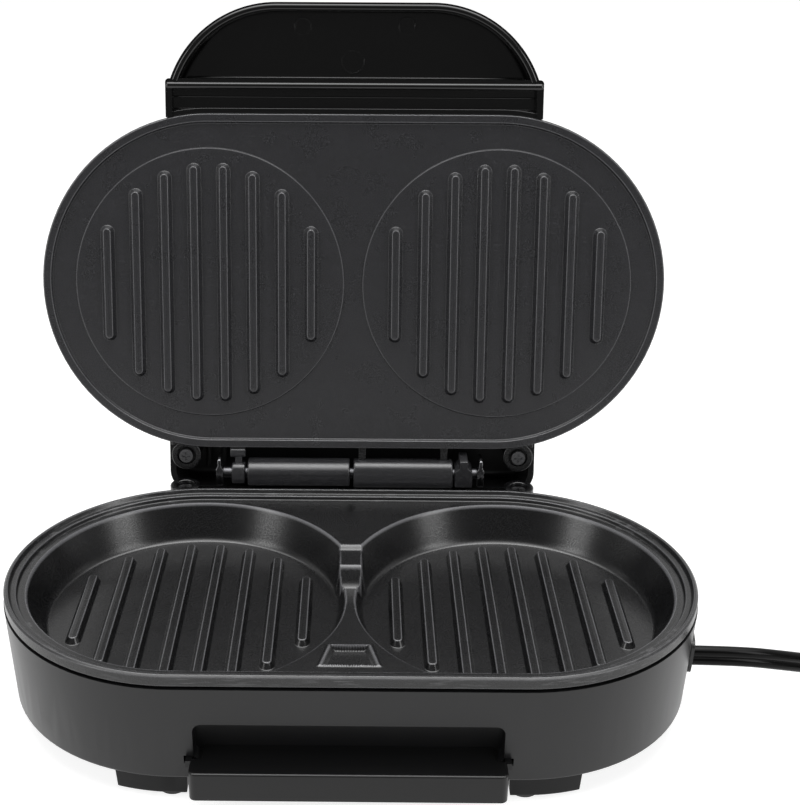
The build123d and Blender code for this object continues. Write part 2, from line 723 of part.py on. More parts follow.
corners = (
    ("front_left", -1, -1),
    ("front_right", 1, -1),
    ("rear_left", -1, 1),
    ("rear_right", 1, 1),
)
for corner, side, end in corners:
    with BuildPart(base_rim) as foot:
        with BuildSketch(below(base_floor)):
            SlotOverall(
                shell_length - 2 * floor_inset - 2 * foot_inset,
                shell_depth - 2 * floor_inset - 2 * foot_inset,
            )
            with Locations((side * foot_middle, end * (shell_edge - foot_depth))):
                foot_align = (Align.CENTER, Align.MIN if end > 0 else Align.MAX)
                Rectangle(foot_length, 2 * foot_depth, align=foot_align, mode=Mode.INTERSECT)
        extrude(amount=-foot_height, taper=4)
        fillet(edges().group_by(Axis.Z)[0], 1.0)
        with Locations((side * post_x, end * post_y, -base_floor)):
            Cylinder(
                screw_shank / 2 + screw_play,
                2 * foot_height,
                mode=Mode.SUBTRACT,
            )
        with Locations((side * post_x, end * post_y, -base_floor - foot_seat)):
            Cylinder(
                counterbore / 2,
                foot_height,
                align=(Align.CENTER, Align.CENTER, Align.MAX),
                mode=Mode.SUBTRACT,
            )
    foot.part.label = f"foot_{corner}"
    export_step(foot.part, f"parts/foot_{corner}.step")

    with BuildPart(base_rim) as foot_pad:
        with Locations((side * (end_x + pad_shift), end * post_y, -base_floor - foot_height)):
            Cylinder(
                pad_diameter / 2,
                rim_height - base_floor - foot_height,
                align=(Align.CENTER, Align.CENTER, Align.MAX),
            )
        fillet(edges().group_by(Axis.Z)[0], 0.6)
    foot_pad.part.label = f"foot_pad_{corner}"
    export_step(foot_pad.part, f"parts/foot_pad_{corner}.step")


# ---- screws ------------------------------------------------------------------------------
def pan_screws(places, tilt, length):
    """Cross-head screws drawn into the part that is being built, tilted about its X axis."""
    for place in places:
        with Locations(Location(place, (tilt, 0, 0))):
            Cylinder(
                screw_head / 2,
                screw_head_height,
                align=(Align.CENTER, Align.CENTER, Align.MIN),
            )
            Cylinder(screw_shank / 2 - screw_thread, length, align=(Align.CENTER, Align.CENTER, Align.MAX))
            with Locations((0, 0, screw_head_height)):
                for cross in (0, 90):
                    Box(
                        *screw_cross,
                        rotation=(0, 0, cross),
                        align=(Align.CENTER, Align.CENTER, Align.MAX),
                        mode=Mode.SUBTRACT,
                    )


with BuildPart(base_rim) as lower_plate_screws:
    pan_screws([(-ear_x, ear_y, -seat), (ear_x, ear_y, -seat)], 0, plate_screw_length)
lower_plate_screws.part.label = "lower_plate_screws"
export_step(lower_plate_screws.part, "parts/lower_plate_screws.step")

with BuildPart(lid_rim) as upper_plate_screws:
    pan_screws([(-ear_x, -ear_y, -seat), (ear_x, -ear_y, -seat)], 0, plate_screw_length)
upper_plate_screws.part.label = "upper_plate_screws"
export_step(upper_plate_screws.part, "parts/upper_plate_screws.step")

with BuildPart(base_rim) as foot_screws:
    pan_screws(
        [(x, y, -base_floor - foot_seat) for x in (-post_x, post_x) for y in (-post_y, post_y)],
        180,
        foot_screw_length,
    )
foot_screws.part.label = "foot_screws"
export_step(foot_screws.part, "parts/foot_screws.step")

# ---- lid shell ---------------------------------------------------------------------------
lid_depth_axis = Axis(lid_rim.origin, lid_rim.z_dir)
lid_side_axis = Axis(lid_rim.origin, lid_rim.y_dir)


def lid_dome(inset):
    """The lid's domed body, drawn in from its outer surface by inset."""
    with BuildPart() as dome:
        with BuildSketch(behind(lid_edge)):
            SlotOverall(shell_length - 2 * inset, shell_depth - 2 * inset)
        extrude(amount=lid_edge - lid_height + inset, taper=lid_draft)
        fillet(edges().group_by(lid_depth_axis)[0], lid_roof_radius - inset)
    return dome.part


def hinge_skirt(inset):
    """The boxed skirt on the lid's hinge side, drawn in from its outer surface by inset."""
    with BuildPart() as skirt:
        with BuildSketch(behind(skirt_edge)):
            with Locations((0, -box_front)):
                Rectangle(
                    hinge_box_width - 2 * inset,
                    skirt_rear - box_front - inset,
                    align=(Align.CENTER, Align.MAX),
                )
            fillet(vertices().group_by(Axis.Y)[0], hinge_box_corner - inset)
        extrude(amount=skirt_edge - lid_height + 3 + inset)
        roof_edge = edges().group_by(lid_depth_axis)[0].sort_by(lid_side_axis)[:3]
        fillet(roof_edge, 5.0 - inset)
    return skirt.part


lamp_post = 5.0
post_spread = 26.0
bracket_size = (60.0, 10.0, 1.2)
outer_forms = [lid_dome(0), hinge_skirt(0)]
inner_forms = [lid_dome(shell_wall), hinge_skirt(shell_wall)]
with BuildPart() as lid_shell:
    add(outer_forms)
    add(inner_forms, mode=Mode.SUBTRACT)
    with BuildSketch(behind(0)):
        with Locations((0, -box_front)):
            Rectangle(
                hinge_box_width - 1,
                shell_edge + 1 - box_front,
                align=(Align.CENTER, Align.MAX),
            )
    extrude(amount=-skirt_edge, mode=Mode.SUBTRACT)
    with Locations(lid_rim):
        for side in (-1, 1):
            with Locations((side * ear_x, -ear_y, -ear_thickness)):
                Cylinder(ear_radius - 1, 20, align=(Align.CENTER, Align.CENTER, Align.MAX))
            with Locations((side * ear_x, -ear_y, -ear_thickness)):
                Cylinder(
                    screw_shank / 2 - screw_bite,
                    plate_screw_length + 1,
                    align=(Align.CENTER, Align.CENTER, Align.MAX),
                    mode=Mode.SUBTRACT,
                )
            with Locations((side * shelf_x, shelf_y, -skirt_depth)):
                Box(10, skirt_thickness + 0.8, 6, align=(Align.CENTER, Align.MIN, Align.MAX))
            with Locations((side * hook_x, plate_edge - skirt_inset, -hook_level)):
                Box(*hook_slot, align=(Align.CENTER, Align.MIN, Align.CENTER), mode=Mode.SUBTRACT)
            with Locations((side * post_spread, lens_y, -lid_height + shell_wall)):
                Cylinder(3.0, lamp_post, align=(Align.CENTER, Align.CENTER, Align.MIN))
            with Locations((side * lens_x, lens_y, -lid_height)):
                Cylinder(lens_radius - 1, 3 * shell_wall, mode=Mode.SUBTRACT)
            with Locations(Location((side * handle_screw_x, shell_edge, -handle_screw_depth), (90, 0, 0))):
                Cylinder(screw_shank / 2 + screw_play, handle_screw_length, mode=Mode.SUBTRACT)
lid_shell.part.label = "lid_shell"
export_step(lid_shell.part, "parts/lid_shell.step")

# ---- lid handle: root, lip and hollow visor ------------------------------------------------
visor_half = visor_width / 2
handle_seat_bore = 9.0   # depth of the handle's screw holes
root_reach = lip_reach + 11.0   # root from the lip into the lid's round edge


def visor_outline(inset):
    """Closed outline of the visor: flat front, round shoulders, straight root."""
    with BuildSketch(behind(handle_front)) as outline:
        with BuildLine():
            front = Line((-visor_flat / 2, handle_reach - inset), (visor_flat / 2, handle_reach - inset))
            right = TangentArc(front @ 1, (visor_half - inset, handle_lip), tangent=(1, 0))
            root = Line(right @ 1, (-visor_half + inset, handle_lip))
            TangentArc(front @ 0, root @ 1, tangent=(-1, 0))
        make_face()
    return outline.sketch


with BuildPart() as lid_handle:
    extrude(visor_outline(0), amount=handle_front - visor_depth)
    fillet(edges().group_by(lid_depth_axis)[0].sort_by(lid_side_axis)[1:], 3.0)
    extrude(visor_outline(handle_wall), amount=handle_front - visor_depth + handle_wall, mode=Mode.SUBTRACT)
    with BuildSketch(behind(handle_root)):
        with Locations((0, handle_lip)):
            Rectangle(handle_width, root_reach, align=(Align.CENTER, Align.MAX))
        fillet(vertices().group_by(Axis.Y)[-1], 1.5)
    extrude(amount=handle_root - visor_depth)
    with BuildSketch(behind(handle_front)):
        with Locations((0, handle_lip)):
            Rectangle(handle_width, lip_width, align=(Align.CENTER, Align.MAX))
        with Locations((0, handle_lip)):
            with GridLocations(handle_width - handle_wall, 0, 2, 1):
                Rectangle(handle_wall, root_reach, align=(Align.CENTER, Align.MAX))
        fillet(vertices().group_by(Axis.Y)[-1], 1.5)
    extrude(amount=handle_front - visor_depth)
    with BuildSketch(behind(0)):
        SlotOverall(shell_length + 2 * handle_seat, shell_depth + 2 * handle_seat)
    extrude(amount=-visor_depth - 1, mode=Mode.SUBTRACT)
    with Locations(lid_rim):
        for side in (-1, 1):
            with Locations(Location((side * handle_screw_x, shell_edge, -handle_screw_depth), (90, 0, 0))):
                Cylinder(screw_shank / 2 - screw_bite, 2 * handle_seat_bore, mode=Mode.SUBTRACT)
lid_handle.part.label = "lid_handle"
export_step(lid_handle.part, "parts/lid_handle.step")

with BuildPart(lid_rim) as handle_screws:
    screw_seat = shell_edge - shell_wall - (handle_screw_depth - lid_edge) * tan(radians(lid_draft)) - 0.2
    pan_screws(
        [(x, screw_seat, -handle_screw_depth) for x in (-handle_screw_x, handle_screw_x)],
        90,
        handle_screw_length,
    )
handle_screws.part.label = "handle_screws"
export_step(handle_screws.part, "parts/handle_screws.step")

# ---- indicator lamps in the lid -------------------------------------------------------------
for lens_name, side in (("power_lens", -1), ("ready_lens", 1)):
    with BuildPart(lid_rim) as lens:
        with Locations((side * lens_x, lens_y, -lid_height)):
            Cylinder(lens_radius - 1.05, shell_wall + 1.0, align=(Align.CENTER, Align.CENTER, Align.MIN))
            Cylinder(lens_radius, 1.2, align=(Align.CENTER, Align.CENTER, Align.MAX))
        fillet(edges().group_by(lid_depth_axis)[0], 0.7)
    lens.part.label = lens_name
    export_step(lens.part, f"parts/{lens_name}.step")

bracket_depth = lid_height - shell_wall - lamp_post
with BuildPart(lid_rim) as lamp_bracket:
    with Locations((0, lens_y, -bracket_depth)):
        Box(*bracket_size, align=(Align.CENTER, Align.CENTER, Align.MIN))
lamp_bracket.part.label = "lamp_bracket"
export_step(lamp_bracket.part, "parts/lamp_bracket.step")

with BuildPart(lid_rim) as neon_lamps:
    for side in (-1, 1):
        with Locations((side * lens_x, lens_y, -bracket_depth - 1.7)):
            Cylinder(1.6, 9, rotation=(90, 0, 0))
neon_lamps.part.label = "neon_lamps"
export_step(neon_lamps.part, "parts/neon_lamps.step")


# ---- heating gear, alike in base and lid ------------------------------------------------------
element_reach = well_spacing / 2 + element_overhang
reflector_length = 2 * (element_reach + reflector_margin)
reflector_depth = 2 * (boss_y + reflector_margin)


def heating_set(prefix, rim, back, hinge_sign):
    """Element, its clips, reflector and screws behind the back of one grill plate."""
    axis_depth = back + element_gap + element_diameter / 2
    with BuildPart() as element:
        with BuildLine(rim.offset(-axis_depth)) as run:
            FilletPolyline(
                (element_tail, hinge_sign * element_end),
                (element_tail, hinge_sign * element_side),
                (element_reach, hinge_sign * element_side),
                (element_reach, -hinge_sign * element_side),
                (-element_reach, -hinge_sign * element_side),
                (-element_reach, hinge_sign * element_side),
                (-element_tail, hinge_sign * element_side),
                (-element_tail, hinge_sign * element_end),
                radius=[8, element_bend, element_bend, element_bend, element_bend, 8],
            )
        with BuildSketch(Plane(run.line @ 0, z_dir=run.line % 0)):
            Circle(element_diameter / 2)
        sweep(path=run.line)
        for place in (0, 1):
            with BuildSketch(Plane(run.line @ place, z_dir=run.line % place)):
                Circle(terminal_diameter / 2)
            extrude(amount=terminal_length if place else -terminal_length)
    element.part.label = f"{prefix}_heating_element"
    export_step(element.part, f"parts/{prefix}_heating_element.step")

    clip_depth = element_diameter + 2 * element_gap + clip_thickness
    clip_span = element_diameter + 4 * element_gap
    with BuildPart(rim) as clips:
        for middle in wells:
            for side in (-1, 1):
                with Locations((middle, side * element_side, -back)):
                    Box(
                        clip_width,
                        clip_span + 2 * clip_thickness,
                        clip_depth,
                        align=(Align.CENTER, Align.CENTER, Align.MAX),
                    )
                    Box(
                        clip_width + 1,
                        clip_span,
                        clip_depth - clip_thickness,
                        align=(Align.CENTER, Align.CENTER, Align.MAX),
                        mode=Mode.SUBTRACT,
                    )
    clips.part.label = f"{prefix}_element_clips"
    export_step(clips.part, f"parts/{prefix}_element_clips.step")

    sheet = back + reflector_gap
    with BuildPart() as reflector:
        with BuildSketch(rim.offset(-sheet)):
            SlotOverall(reflector_length, reflector_depth)
            with GridLocations(0, 2 * boss_y, 1, 2):
                Circle(screw_shank / 2 + screw_play, mode=Mode.SUBTRACT)
            with Locations((0, thermostat_y)):
                Circle(thermostat_radius + 1.5, mode=Mode.SUBTRACT)
            with GridLocations(2 * element_tail, 0, 2, 1):
                with Locations((0, hinge_sign * (element_end + 2))):
                    Circle(2.5, mode=Mode.SUBTRACT)
        extrude(amount=-reflector_sheet)
        with BuildSketch(rim.offset(-sheet)):
            SlotOverall(reflector_length, reflector_depth)
            SlotOverall(
                reflector_length - 2 * reflector_sheet,
                reflector_depth - 2 * reflector_sheet,
                mode=Mode.SUBTRACT,
            )
        extrude(amount=reflector_lip)
    reflector.part.label = f"{prefix}_reflector"
    export_step(reflector.part, f"parts/{prefix}_reflector.step")

    with BuildPart(rim) as screws:
        pan_screws([(0, y, -sheet - reflector_sheet) for y in (-boss_y, boss_y)], 180, plate_screw_length)
    screws.part.label = f"{prefix}_reflector_screws"
    export_step(screws.part, f"parts/{prefix}_reflector_screws.step")


heating_set("lower", base_rim, cup_floor, 1)
heating_set("upper", lid_rim, upper_back, -1)

# ---- thermostat, thermal fuses and terminal block ---------------------------------------------
blade_depth = cup_floor + thermostat_height
tab_x = thermostat_radius - 3.0
tab_width = 6.0
lead_depth = cup_floor + reflector_gap + reflector_sheet + fuse_diameter / 2 + 0.1
with BuildPart(base_rim) as thermostat:
    with Locations((0, thermostat_y, -cup_floor)):
        Cylinder(thermostat_radius, thermostat_height, align=(Align.CENTER, Align.CENTER, Align.MAX))
    fillet(edges().group_by(Axis.Z)[0], 1.0)
    with Locations((-tab_x, thermostat_y, -blade_depth), (tab_x, thermostat_y, -blade_depth)):
        Box(
            clip_thickness,
            tab_width,
            lead_depth - blade_depth + 2,
            align=(Align.CENTER, Align.CENTER, Align.MAX),
        )
thermostat.part.label = "thermostat"
export_step(thermostat.part, "parts/thermostat.step")

lower_fuse = (-40.0, -12.5, -lead_depth)
upper_lead_depth = upper_back + reflector_gap + reflector_sheet + fuse_diameter / 2 + 0.1
upper_fuse = (-40.0, 0.0, -upper_lead_depth)
for fuse_name, rim, place in (
    ("lower_thermal_fuse", base_rim, lower_fuse),
    ("upper_thermal_fuse", lid_rim, upper_fuse),
):
    with BuildPart(rim) as fuse:
        with Locations(place):
            Cylinder(fuse_diameter / 2, fuse_length, rotation=(0, 90, 0))
        fillet(edges().filter_by(GeomType.CIRCLE), 0.6)
    fuse.part.label = fuse_name
    export_step(fuse.part, f"parts/{fuse_name}.step")

block_floor = base_floor - shell_wall - terminal_rise
with BuildPart(base_rim) as terminal_block:
    with Locations((terminal_x, cord_exit_y, -block_floor)):
        Box(*terminal_size, align=(Align.CENTER, Align.CENTER, Align.MIN))
    fillet(edges().filter_by(Axis.Z), 1.0)
    with Locations((terminal_x, cord_exit_y, -block_floor + terminal_size[2])):
        with GridLocations(terminal_size[0] / 2, terminal_size[1] / 2, 2, 2):
            Cylinder(1.6, 2.4, align=(Align.CENTER, Align.CENTER, Align.MAX), mode=Mode.SUBTRACT)
terminal_block.part.label = "terminal_block"
export_step(terminal_block.part, "parts/terminal_block.step")


# ---- leads inside the base and the lid ----------------------------------------------------------
def lead(rim, points, diameter, bend):
    """One round lead along a bent route in a rim's own frame."""
    with BuildPart() as wire:
        with BuildLine(rim) as run:
            if len(points) == 2:
                Line(*points)
            else:
                FilletPolyline(*points, radius=bend)
        with BuildSketch(Plane(run.line @ 0, z_dir=run.line % 0)):
            Circle(diameter / 2)
        sweep(path=run.line)
    return wire.part


block_end = terminal_x - terminal_size[0] / 2
block_pair = (cord_exit_y - terminal_size[1] / 4, cord_exit_y + terminal_size[1] / 4)
fuse_end = fuse_length / 2 + 0.05
lead_bend = 4.0
core_gap = 0.6           # cord cores stop short of the cord's end and of the block
terminal_reach = element_end + 2
under_terminal = -(cup_floor + element_gap + element_diameter / 2 + terminal_diameter / 2 + 0.1)
low_lead = -lead_depth - 3.4
base_routes = (
    ((block_end, block_pair[0], -lead_depth), (lower_fuse[0] + fuse_end, lower_fuse[1], -lead_depth)),
    (
        (lower_fuse[0] - fuse_end, lower_fuse[1], -lead_depth),
        (-62, lower_fuse[1], -lead_depth),
        (-62, thermostat_y, -lead_depth),
        (-tab_x - clip_thickness, thermostat_y, -lead_depth),
    ),
    (
        (tab_x + clip_thickness, thermostat_y, -lead_depth),
        (24, thermostat_y, -lead_depth),
        (24, terminal_reach, -lead_depth),
        (element_tail, terminal_reach, -lead_depth),
        (element_tail, terminal_reach, under_terminal),
    ),
    (
        (-element_tail, terminal_reach, under_terminal),
        (-element_tail, terminal_reach, low_lead),
        (-element_tail, element_side, low_lead),
        (60, element_side, low_lead),
        (60, block_pair[1], low_lead),
        (block_end, block_pair[1], low_lead),
    ),
)
core_ends = [
    (
        (cord_inner_end - core_gap, pair_y, -cord_level - 1.0),
        (block_end + terminal_size[0] + core_gap, pair_y, -lead_depth - 1.0),
    )
    for pair_y in block_pair
]
wires = [lead(base_rim, route, lead_diameter, lead_bend) for route in (*base_routes, *core_ends)]
with BuildPart() as base_leads:
    add(wires)
base_leads.part.label = "base_leads"
export_step(base_leads.part, "parts/base_leads.step")

over_terminal = -(upper_back + element_gap + element_diameter / 2 + terminal_diameter / 2 + 0.1)
lamp_depth = -bracket_depth - 1.7
lamp_end = lens_y - 4.6
lamp_joint = lens_y - 12.0
lamp_bend = 3.0
harness_y = -hinge_y - 1
far_lead = -upper_lead_depth - 3.2
lid_routes = (
    (
        (-60, harness_y, -upper_lead_depth),
        (-60, 0, -upper_lead_depth),
        (upper_fuse[0] - fuse_end, 0, -upper_lead_depth),
    ),
    (
        (upper_fuse[0] + fuse_end, 0, -upper_lead_depth),
        (-element_tail, 0, -upper_lead_depth),
        (-element_tail, -terminal_reach, -upper_lead_depth),
        (-element_tail, -terminal_reach, over_terminal),
    ),
    (
        (element_tail, -terminal_reach, over_terminal),
        (element_tail, -terminal_reach, far_lead),
        (element_tail, -60, far_lead),
        (-54, -60, far_lead),
        (-54, harness_y, far_lead),
    ),
)
lamp_routes = (
    ((-lens_x, lamp_end, lamp_depth), (-lens_x, -30, lamp_depth), (-lens_x, -58.8, far_lead)),
    (
        (lens_x, lamp_end, lamp_depth),
        (lens_x, lamp_joint, lamp_depth),
        (0.8 - lens_x, lamp_joint, lamp_depth),
    ),
)
wires = [lead(lid_rim, route, lead_diameter, lead_bend) for route in lid_routes]
wires += [lead(lid_rim, route, lamp_lead, lamp_bend) for route in lamp_routes]
with BuildPart() as lid_leads:
    add(wires)
lid_leads.part.label = "lid_leads"
export_step(lid_leads.part, "parts/lid_leads.step")

# ---- cord: gland, strain relief, free stretch, coil, tie and plug --------------------------------
cord_radius = cord_diameter / 2
relief_x = outlet_x - relief_reach
with BuildPart(base_rim) as cord_gland:
    with Locations((outlet_x - shell_wall - 2, cord_exit_y, -cord_level)):
        Cylinder(
            gland_neck / 2,
            shell_wall + 2.5,
            rotation=(0, 90, 0),
            align=(Align.CENTER, Align.CENTER, Align.MIN),
        )
    with BuildSketch(cord_outlet.offset(0.05)):
        with Locations((0, gland_lift)):
            RectangleRounded(gland_width, gland_height, 2.5)
    extrude(amount=gland_reach)
    with Locations((outlet_x, cord_exit_y, -cord_level)):
        Cylinder(cord_radius + cord_fit, 24, rotation=(0, 90, 0), mode=Mode.SUBTRACT)
cord_gland.part.label = "cord_gland"
export_step(cord_gland.part, "parts/cord_gland.step")

with BuildPart(base_rim) as strain_relief:
    with Locations((relief_x, cord_exit_y, -base_floor + shell_wall)):
        Box(
            *relief_size,
            base_floor - shell_wall - cord_level + cord_radius + 2,
            align=(Align.CENTER, Align.CENTER, Align.MIN),
        )
    fillet(edges().filter_by(Axis.X).group_by(Axis.Z)[-1], 2.0)
    with Locations((relief_x, cord_exit_y, -cord_level)):
        Cylinder(cord_radius + cord_fit, 10, rotation=(0, 90, 0), mode=Mode.SUBTRACT)
strain_relief.part.label = "strain_relief"
export_step(strain_relief.part, "parts/strain_relief.step")

cord_section = pi * cord_radius**2
cord_radii = []
for before, corner, after in zip(cord_route, cord_route[1:], cord_route[2:]):
    run_in = Vector(corner) - Vector(before)
    run_out = Vector(after) - Vector(corner)
    half_turn = radians(run_in.get_angle(run_out) / 2)
    cord_radii.append(0.45 * min(run_in.length, run_out.length) / tan(half_turn))
print("cord bend radii", [round(radius, 1) for radius in cord_radii])
with BuildPart() as power_cord:
    with BuildLine(base_rim) as run:
        FilletPolyline(*cord_route, radius=cord_radii)
    with BuildSketch(Plane(run.line @ 0, z_dir=run.line % 0)):
        Circle(cord_radius)
    sweep(path=run.line)
run_length = run.wires()[0].length
print("cord tube volume", power_cord.part.volume, "of", cord_section * run_length)
power_cord.part.label = "power_cord"
export_step(power_cord.part, "parts/power_cord.step")

coil_outer = coil_inner + coil_turns * coil_pitch
heading = (Vector(cord_route[-1]) - Vector(cord_route[-2])).normalized()
coil_entry = Vector(cord_route[-1]) + heading * coil_lead
lead_middle = Vector(cord_route[-1]) + heading * (coil_lead / 2)
coil_middle = coil_entry + Vector(heading.Y, -heading.X) * coil_outer
entry_angle = degrees(atan2(heading.X, -heading.Y))
plug_angle = entry_angle - coil_climb - coil_shift
plug_level = cord_diameter + plug_thickness / 2
coil_top = plug_level + cord_radius
table_plane = below(rim_height)
with BuildPart() as cord_coil:
    with BuildSketch(table_plane):
        with Locations((coil_middle.X, coil_middle.Y)):
            Circle(coil_outer + cord_radius)
            Circle(coil_inner - cord_radius, mode=Mode.SUBTRACT)
        with Locations(Location((lead_middle.X, lead_middle.Y, 0), (0, 0, entry_angle - 90))):
            Rectangle(coil_lead, cord_diameter)
    extrude(amount=cord_diameter)
    with BuildSketch(table_plane.offset(cord_diameter - 1)):
        with BuildLine():
            middle = (coil_middle.X, coil_middle.Y)
            near = CenterArc(middle, coil_inner - cord_radius, plug_angle, coil_climb + coil_shift)
            far = CenterArc(middle, plug_front_radius + cord_radius, plug_angle, coil_climb + coil_shift)
            Line(near @ 0, far @ 0)
            Line(near @ 1, far @ 1)
        make_face()
    extrude(amount=coil_top - cord_diameter + 1)
    tie_middle = (coil_inner + coil_outer) / 2
    tie_x = coil_middle.X + tie_middle * cos(radians(tie_angle))
    tie_y = coil_middle.Y + tie_middle * sin(radians(tie_angle))
    tie_span = coil_outer - coil_inner + cord_diameter + 2 * tie_gap
    tie_place = Location((tie_x, tie_y, 0), (0, 0, tie_angle))
    with BuildSketch(table_plane):
        with Locations(tie_place):
            Rectangle(tie_span + 2, tie_width + 2 * tie_gap)
    extrude(amount=tie_thickness + tie_gap, mode=Mode.SUBTRACT)
cord_coil.part.label = "cord_coil"
export_step(cord_coil.part, "parts/cord_coil.step")

with BuildPart() as cord_tie:
    with BuildSketch(table_plane):
        with Locations(tie_place):
            Rectangle(tie_span + 2 * tie_thickness, tie_width)
    extrude(amount=cord_diameter + tie_gap + tie_thickness)
    fillet(edges().filter_by(Axis.Z, reverse=True).filter_by(GeomType.LINE).sort_by(SortBy.LENGTH)[:4], 0.7)
    with BuildSketch(table_plane.offset(tie_thickness)):
        with Locations(tie_place):
            Rectangle(tie_span, tie_width + 2)
    extrude(amount=cord_diameter + tie_gap - tie_thickness, mode=Mode.SUBTRACT)
cord_tie.part.label = "cord_tie"
export_step(cord_tie.part, "parts/cord_tie.step")

plug_turn = radians(plug_angle)
plug_plane = Plane(
    table_plane.origin
    + (
        coil_middle.X + plug_front_radius * cos(plug_turn),
        coil_middle.Y + plug_front_radius * sin(plug_turn),
        plug_level + tie_gap,
    ),
    x_dir=(cos(plug_turn), sin(plug_turn), 0),
    z_dir=(sin(plug_turn), -cos(plug_turn), 0),
)
with BuildPart() as plug:
    with BuildSketch(plug_plane):
        RectangleRounded(plug_width * 0.5, plug_thickness * 0.7, 2.0)
    with BuildSketch(plug_plane.offset(plug_length * 0.6)):
        RectangleRounded(plug_width, plug_thickness, 3.0)
    loft()
    with BuildSketch(plug_plane.offset(plug_length * 0.6)):
        RectangleRounded(plug_width, plug_thickness, 3.0)
    extrude(amount=plug_length * 0.4)
    with BuildSketch(plug_plane.offset(plug_length)):
        with GridLocations(blade_spacing, 0, 2, 1):
            Rectangle(blade_thickness, blade_width)
    extrude(amount=blade_length)
plug.part.label = "plug"
export_step(plug.part, "parts/plug.step")
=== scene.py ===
import json
import math
import bmesh
import bpy
import numpy as np
from mathutils import Matrix, Vector


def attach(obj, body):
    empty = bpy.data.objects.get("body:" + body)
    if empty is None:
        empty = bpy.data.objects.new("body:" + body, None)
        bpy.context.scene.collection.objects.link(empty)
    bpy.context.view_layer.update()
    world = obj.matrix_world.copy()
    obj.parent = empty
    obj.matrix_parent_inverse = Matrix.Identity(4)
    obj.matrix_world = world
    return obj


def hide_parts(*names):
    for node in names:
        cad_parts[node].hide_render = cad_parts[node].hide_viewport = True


# A two-well breakfast sandwich maker with its lid open, dressed over its CAD frame.
# Shapes are worked out in millimetres in the frame of their own plate, with x along the hinge
# and z out of the cooking face, and are then set in metres. The hinge lies on the positive y
# side of the lower plate and on the negative y side of the upper one.

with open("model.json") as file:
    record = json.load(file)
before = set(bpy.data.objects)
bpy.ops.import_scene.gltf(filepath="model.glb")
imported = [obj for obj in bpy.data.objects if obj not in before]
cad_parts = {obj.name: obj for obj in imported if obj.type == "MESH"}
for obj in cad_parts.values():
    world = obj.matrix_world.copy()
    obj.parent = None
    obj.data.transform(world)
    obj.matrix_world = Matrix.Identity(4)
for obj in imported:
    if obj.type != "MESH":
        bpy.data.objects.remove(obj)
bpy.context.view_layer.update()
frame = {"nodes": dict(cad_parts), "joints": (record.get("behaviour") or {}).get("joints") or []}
nodes = frame["nodes"]
mm = 0.001

# frames of the two plates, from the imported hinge
hinge = Vector(frame["joints"][0]["pos_m"])
openAngle = math.radians(frame["joints"][0]["range_deg"][1])
hingeAt = {"y": 77.3, "lowerZ": 3.2, "upperZ": -2.9}  # the axis, seen from each plate
basePlace = Matrix.Translation((0, hinge.y - hingeAt["y"] * mm, hinge.z - hingeAt["lowerZ"] * mm))
lidUp = Vector((0, -math.cos(openAngle), math.sin(openAngle)))
lidOut = Vector((0, -math.sin(openAngle), -math.cos(openAngle)))
lidOrigin = hinge + lidUp * hingeAt["y"] * mm - lidOut * hingeAt["upperZ"] * mm
lidPlace = Matrix.Translation(lidOrigin) @ Matrix(((1, 0, 0), lidUp, lidOut)).transposed().to_4x4()
print("frame loaded:", len(nodes), "nodes")


def newObject(name, data):
    made = bpy.data.objects.new(name, data)
    bpy.context.scene.collection.objects.link(made)
    return made


# camera
view = {
    "place": (0.0022, -0.4707, 0.3057),
    "yaw": -0.431,
    "pitch": 23.175,
    "roll": 0.241,
    "lens": 63.17,
    "shiftX": 0.0645,
}


def makeCamera():
    cameraData = bpy.data.cameras.new("camera")
    cameraData.lens = view["lens"]
    cameraData.shift_x = view["shiftX"]
    cameraData.clip_start = 0.01
    camera = newObject("camera", cameraData)
    yaw, pitch, roll = (math.radians(view[k]) for k in ("yaw", "pitch", "roll"))
    forward = Vector((math.sin(yaw) * math.cos(pitch), math.cos(yaw) * math.cos(pitch), -math.sin(pitch)))
    side = Vector((math.cos(yaw), -math.sin(yaw), 0.0))
    top = side.cross(forward)
    right = side * math.cos(roll) + top * math.sin(roll)
    up = top * math.cos(roll) - side * math.sin(roll)
    turn = Matrix((right, up, -forward)).transposed().to_4x4()
    camera.matrix_world = Matrix.Translation(view["place"]) @ turn
    bpy.context.scene.camera = camera


makeCamera()

# The cord's route, as points of its spline in metres: the free stretch, then the coil.
# The coil's entry, climb, shift and step are degrees around its middle.
cordLook = {
    "width": 0.0076,
    "thick": 0.0042,
    "length": 0.73,
    "exit": (0.1229, -0.0369593, 0.022),
    "middle": (0.25107, -0.03841),
    "outer": 0.0497,
    "inner": 0.0343,
    "turns": 2,
    "entry": 118.26,
    "climb": 80.0,
    "shift": 25.0,
    "plugRadius": 0.038,
    "plugLevel": 0.0144,
    "step": 15.0,
    "sectionPoints": 40,
    "resolution": 8,
}
cordRoute = [
    (0.104, -0.0369593, 0.022),
    (0.138, -0.0369593, 0.022),
    (0.162, -0.0304593, 0.0153),
    (0.186, -0.0169593, 0.0038),
    (0.202, -0.0083593, 0.0038),
    (0.2147, -0.0015, 0.0038),
]


